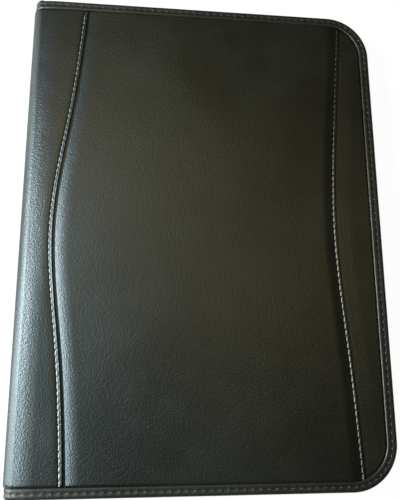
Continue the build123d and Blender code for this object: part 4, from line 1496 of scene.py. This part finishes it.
@dataclass
class FrontInside(Interior):
    """Document pocket, card pockets and the card window on the front cover."""

    side: Side = Side.FRONT
    base: float = 5.22
    pocket_face: float = 0.56
    pocket_step: float = 0.6
    window_face: float = 0.74

    @staticmethod
    def mouth(x: Array) -> Array:
        """The document pocket's slanting mouth."""
        return 30.0 - 35.0 * (x + 116.0) / 244.0

    def document_pocket(self) -> None:
        """The large pocket with its hemmed mouth."""
        shape = FlatPanel(70, 70, -116.0, lambda y: np.minimum(118.2, SIZES.fore_limit(y, 9.8)), -165.2, self.mouth,
                          self.base, 5.98, 1.4, 0.05)
        self.panel("document_pocket_skin", shape, self.finishes.pocket, "document_pocket")
        self.sew("document_pocket_stitches", [(-114.5, 25.8), (117.0, -7.4)], 5.95)

    def card_pockets(self) -> None:
        """Three card pockets, one over the other."""
        for number, top in enumerate((138.0, 120.0, 102.0), 1):
            name, under = f"card_pocket_{number}", self.base + self.pocket_step * (number - 1)
            face = under + self.pocket_face
            shape = FlatPanel(40, 44, -106.0, level(-8.0), 40.0, level(top), under, face, 1.0, 0.03)
            self.panel(f"{name}_skin", shape, self.finishes.pocket, name)
            self.sew(f"{name}_stitches", [(-104.0, top - 2.4), (-10.0, top - 2.4)], face - 0.03)
        self.sew("card_pocket_side_stitches", [(-104.3, 99.0), (-104.3, 41.8), (-9.7, 41.8), (-9.7, 99.0)], 6.95)

    def window(self) -> None:
        """The frame round the clear card window."""
        outer = np.array([[48, 40], [96, 40], [96, 138], [0, 138], [0, 40], [48, 40]], float)
        inner = np.array([[48, 48], [88, 48], [88, 130], [8, 130], [8, 48], [48, 48]], float)
        stops, hem = [0, 0.125, 0.375, 0.625, 0.875, 1.0], 0.16

        def place(u: Array, v: Array) -> Array:
            """A point of the frame, from its outer to its inner edge."""
            share = FlatPanel.spread(u)
            flat = []
            for axis in range(2):
                start = np.interp(v, stops, outer[:, axis])
                flat.append(start + (np.interp(v, stops, inner[:, axis]) - start) * share)
            depth = self.base + self.window_face * np.minimum(roll(u / hem), roll((1 - u) / hem))
            return points(*flat, self.side.height(depth))
        self.drape("card_window_frame_skin", Grid(16, 80, 0.45), place, self.finishes.pocket, self.side.ride,
                   "card_window_frame")
        self.sew("card_window_stitches", [(1.9, 41.9), (94.1, 41.9), (94.1, 136.1), (1.9, 136.1), (1.9, 41.9)], 5.94)

    def build(self) -> None:
        """Makes the inside of the front cover."""
        self.lining()
        self.document_pocket()
        self.card_pockets()
        self.window()


@dataclass
class CarriedOver:
    """Pieces that show as they were built, with only a finish added."""

    finishes: Finishes

    def build(self) -> None:
        """Gives every piece that still shows its material."""
        looks = (self.finishes.board, self.finishes.metal, self.finishes.card, self.finishes.film)
        choice = {look.slot: look.material for look in looks}
        for row in frame["record"]["subparts"]:
            obj = frame["nodes"][row["node"]]
            if obj.hide_render:
                continue
            obj.data.materials.clear()
            obj.data.materials.append(choice[row["material_slot"]])
            LOG.info("dressed %s", row["node"])


@dataclass(frozen=True)
class SoftLamp:
    """A square lamp of the studio that faces the case: place and size in metres, power in watts."""

    name: str
    at: tuple[float, float, float]
    size: float
    power: float
    colour: Colour
    target: tuple[float, float, float] = (-0.05, 0.0, 0.0)

    def light(self) -> None:
        """Puts the lamp up."""
        data = bpy.data.lights.new(self.name, "AREA")
        data.shape, data.size = "SQUARE", self.size
        data.energy, data.color = self.power, self.colour
        obj = bpy.data.objects.new(self.name, data)
        bpy.context.collection.objects.link(obj)
        obj.location = self.at
        obj.rotation_mode = "QUATERNION"
        obj.rotation_quaternion = (Vector(self.target) - Vector(self.at)).to_track_quat("-Z", "Y")


LAMPS = (
    SoftLamp("window", (-0.70, 0.10, 0.60), 0.40, 6.0, (0.74, 0.93, 1.0)),
    SoftLamp("window_near", (-0.70, -0.30, 0.60), 0.40, 3.2, (0.64, 0.90, 1.0)),
    SoftLamp("window_low", (-0.78, -0.14, 0.20), 0.36, 1.9, (0.82, 0.96, 1.0)),
    SoftLamp("window_low_far", (-0.78, 0.40, 0.22), 0.36, 0.75, (0.82, 0.96, 1.0)),
    SoftLamp("sky_near", (-0.35, -0.10, 1.00), 0.35, 0.2, (0.66, 0.96, 1.0)),
    SoftLamp("sky_far", (-0.35, 0.30, 1.00), 0.35, 0.37, (0.70, 0.86, 1.0)),
    SoftLamp("room_right", (0.15, 0.15, 1.00), 0.35, 0.167, (1.0, 0.78, 0.30)),
    SoftLamp("room_far", (-0.15, 0.45, 1.00), 0.35, 0.267, (1.0, 0.84, 0.30)),
    SoftLamp("room_side", (0.52, 0.24, 1.00), 0.50, 0.07, (1.0, 0.60, 0.12)),
)


@dataclass
class Studio:
    """Floor, background, lights and the camera, in metres."""

    floor_size: float = 24.0
    floor_level: float = -0.0004
    floor_colour: Colour = (0.92, 0.92, 0.92)
    floor_glow: float = 1.12
    mirrored_share: float = 0.3
    fade: Spot = (0.25, 0.9)
    near_white: float = 0.86
    room_colour: Colour = (1.0, 0.85, 0.46)
    room_strength: float = 0.016
    lens: float = 42.374
    sensor: float = 36.0
    camera_at: tuple[float, float, float] = (-0.048426, -0.108519, 0.421071)
    camera_turn: tuple[float, float, float] = (0.231937, -0.109777, -0.003901)

    def floor(self) -> None:
        """A white floor that keeps a faint shadow near the case."""
        bpy.ops.object.select_all(action="DESELECT")
        bpy.ops.mesh.primitive_plane_add(size=self.floor_size, location=(0, 0, self.floor_level))
        plane = bpy.context.active_object
        plane.name = "studio_floor"
        tree = ShaderTree("studio_white")
        matt = tree.node("ShaderNodeBsdfDiffuse", {}, {"Color": (*self.floor_colour, 1)})
        white = tree.node("ShaderNodeEmission", {}, {"Color": (1, 1, 1, 1), "Strength": self.floor_glow})
        seen = tree.node("ShaderNodeLightPath", output="Is Camera Ray")
        mirrored = tree.node("ShaderNodeLightPath", output="Is Glossy Ray")
        x, y, _ = tree.axes()
        far = ((x * x + y * y) ** 0.5).between(*self.fade, self.near_white, 1.0)
        share = (seen + mirrored * self.mirrored_share) * far
        tree.close(tree.node("ShaderNodeMixShader", {}, {0: share, 1: matt, 2: white}))
        plane.data.materials.append(tree.material)
        plane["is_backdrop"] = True

    def world(self) -> None:
        """White where the camera looks, and a soft room for the light."""
        world = bpy.data.worlds.new("studio")
        bpy.context.scene.world = world
        world.use_nodes = True
        nodes, links = world.node_tree.nodes, world.node_tree.links
        nodes.clear()
        path = nodes.new("ShaderNodeLightPath")
        room, back = nodes.new("ShaderNodeBackground"), nodes.new("ShaderNodeBackground")
        room.inputs["Color"].default_value = (*self.room_colour, 1)
        room.inputs["Strength"].default_value = self.room_strength
        back.inputs["Color"].default_value = (1, 1, 1, 1)
        mix, out = nodes.new("ShaderNodeMixShader"), nodes.new("ShaderNodeOutputWorld")
        links.new(path.outputs["Is Camera Ray"], mix.inputs[0])
        links.new(room.outputs[0], mix.inputs[1])
        links.new(back.outputs[0], mix.inputs[2])
        links.new(mix.outputs[0], out.inputs["Surface"])

    def camera(self) -> None:
        """The camera, where the photo was taken from."""
        data = bpy.data.cameras.new("camera")
        data.lens, data.sensor_width, data.sensor_fit = self.lens, self.sensor, "AUTO"
        data.clip_start = 0.01
        camera = bpy.data.objects.new("camera", data)
        bpy.context.collection.objects.link(camera)
        camera.location = self.camera_at
        camera.rotation_euler = self.camera_turn
        bpy.context.scene.camera = camera

    def build(self) -> None:
        """Sets the studio up."""
        bpy.context.scene.view_settings.view_transform = "Standard"
        self.floor()
        self.world()
        for lamp in LAMPS:
            lamp.light()
        self.camera()


def corners() -> list[list[float]]:
    """The shown object's bounding box as plain lists."""
    return [list(corner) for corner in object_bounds()]


def main() -> None:
    """Builds the whole scene."""
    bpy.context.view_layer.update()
    finishes = Finishes()
    Covering(finishes).build()
    EdgeBinding(finishes).build()
    ZipFastener(finishes).build()
    FoldLining(finishes).build()
    BackInside(finishes).build()
    FrontInside(finishes).build()
    CarriedOver(finishes).build()
    Studio().build()


if __name__ == "__main__":
    main()
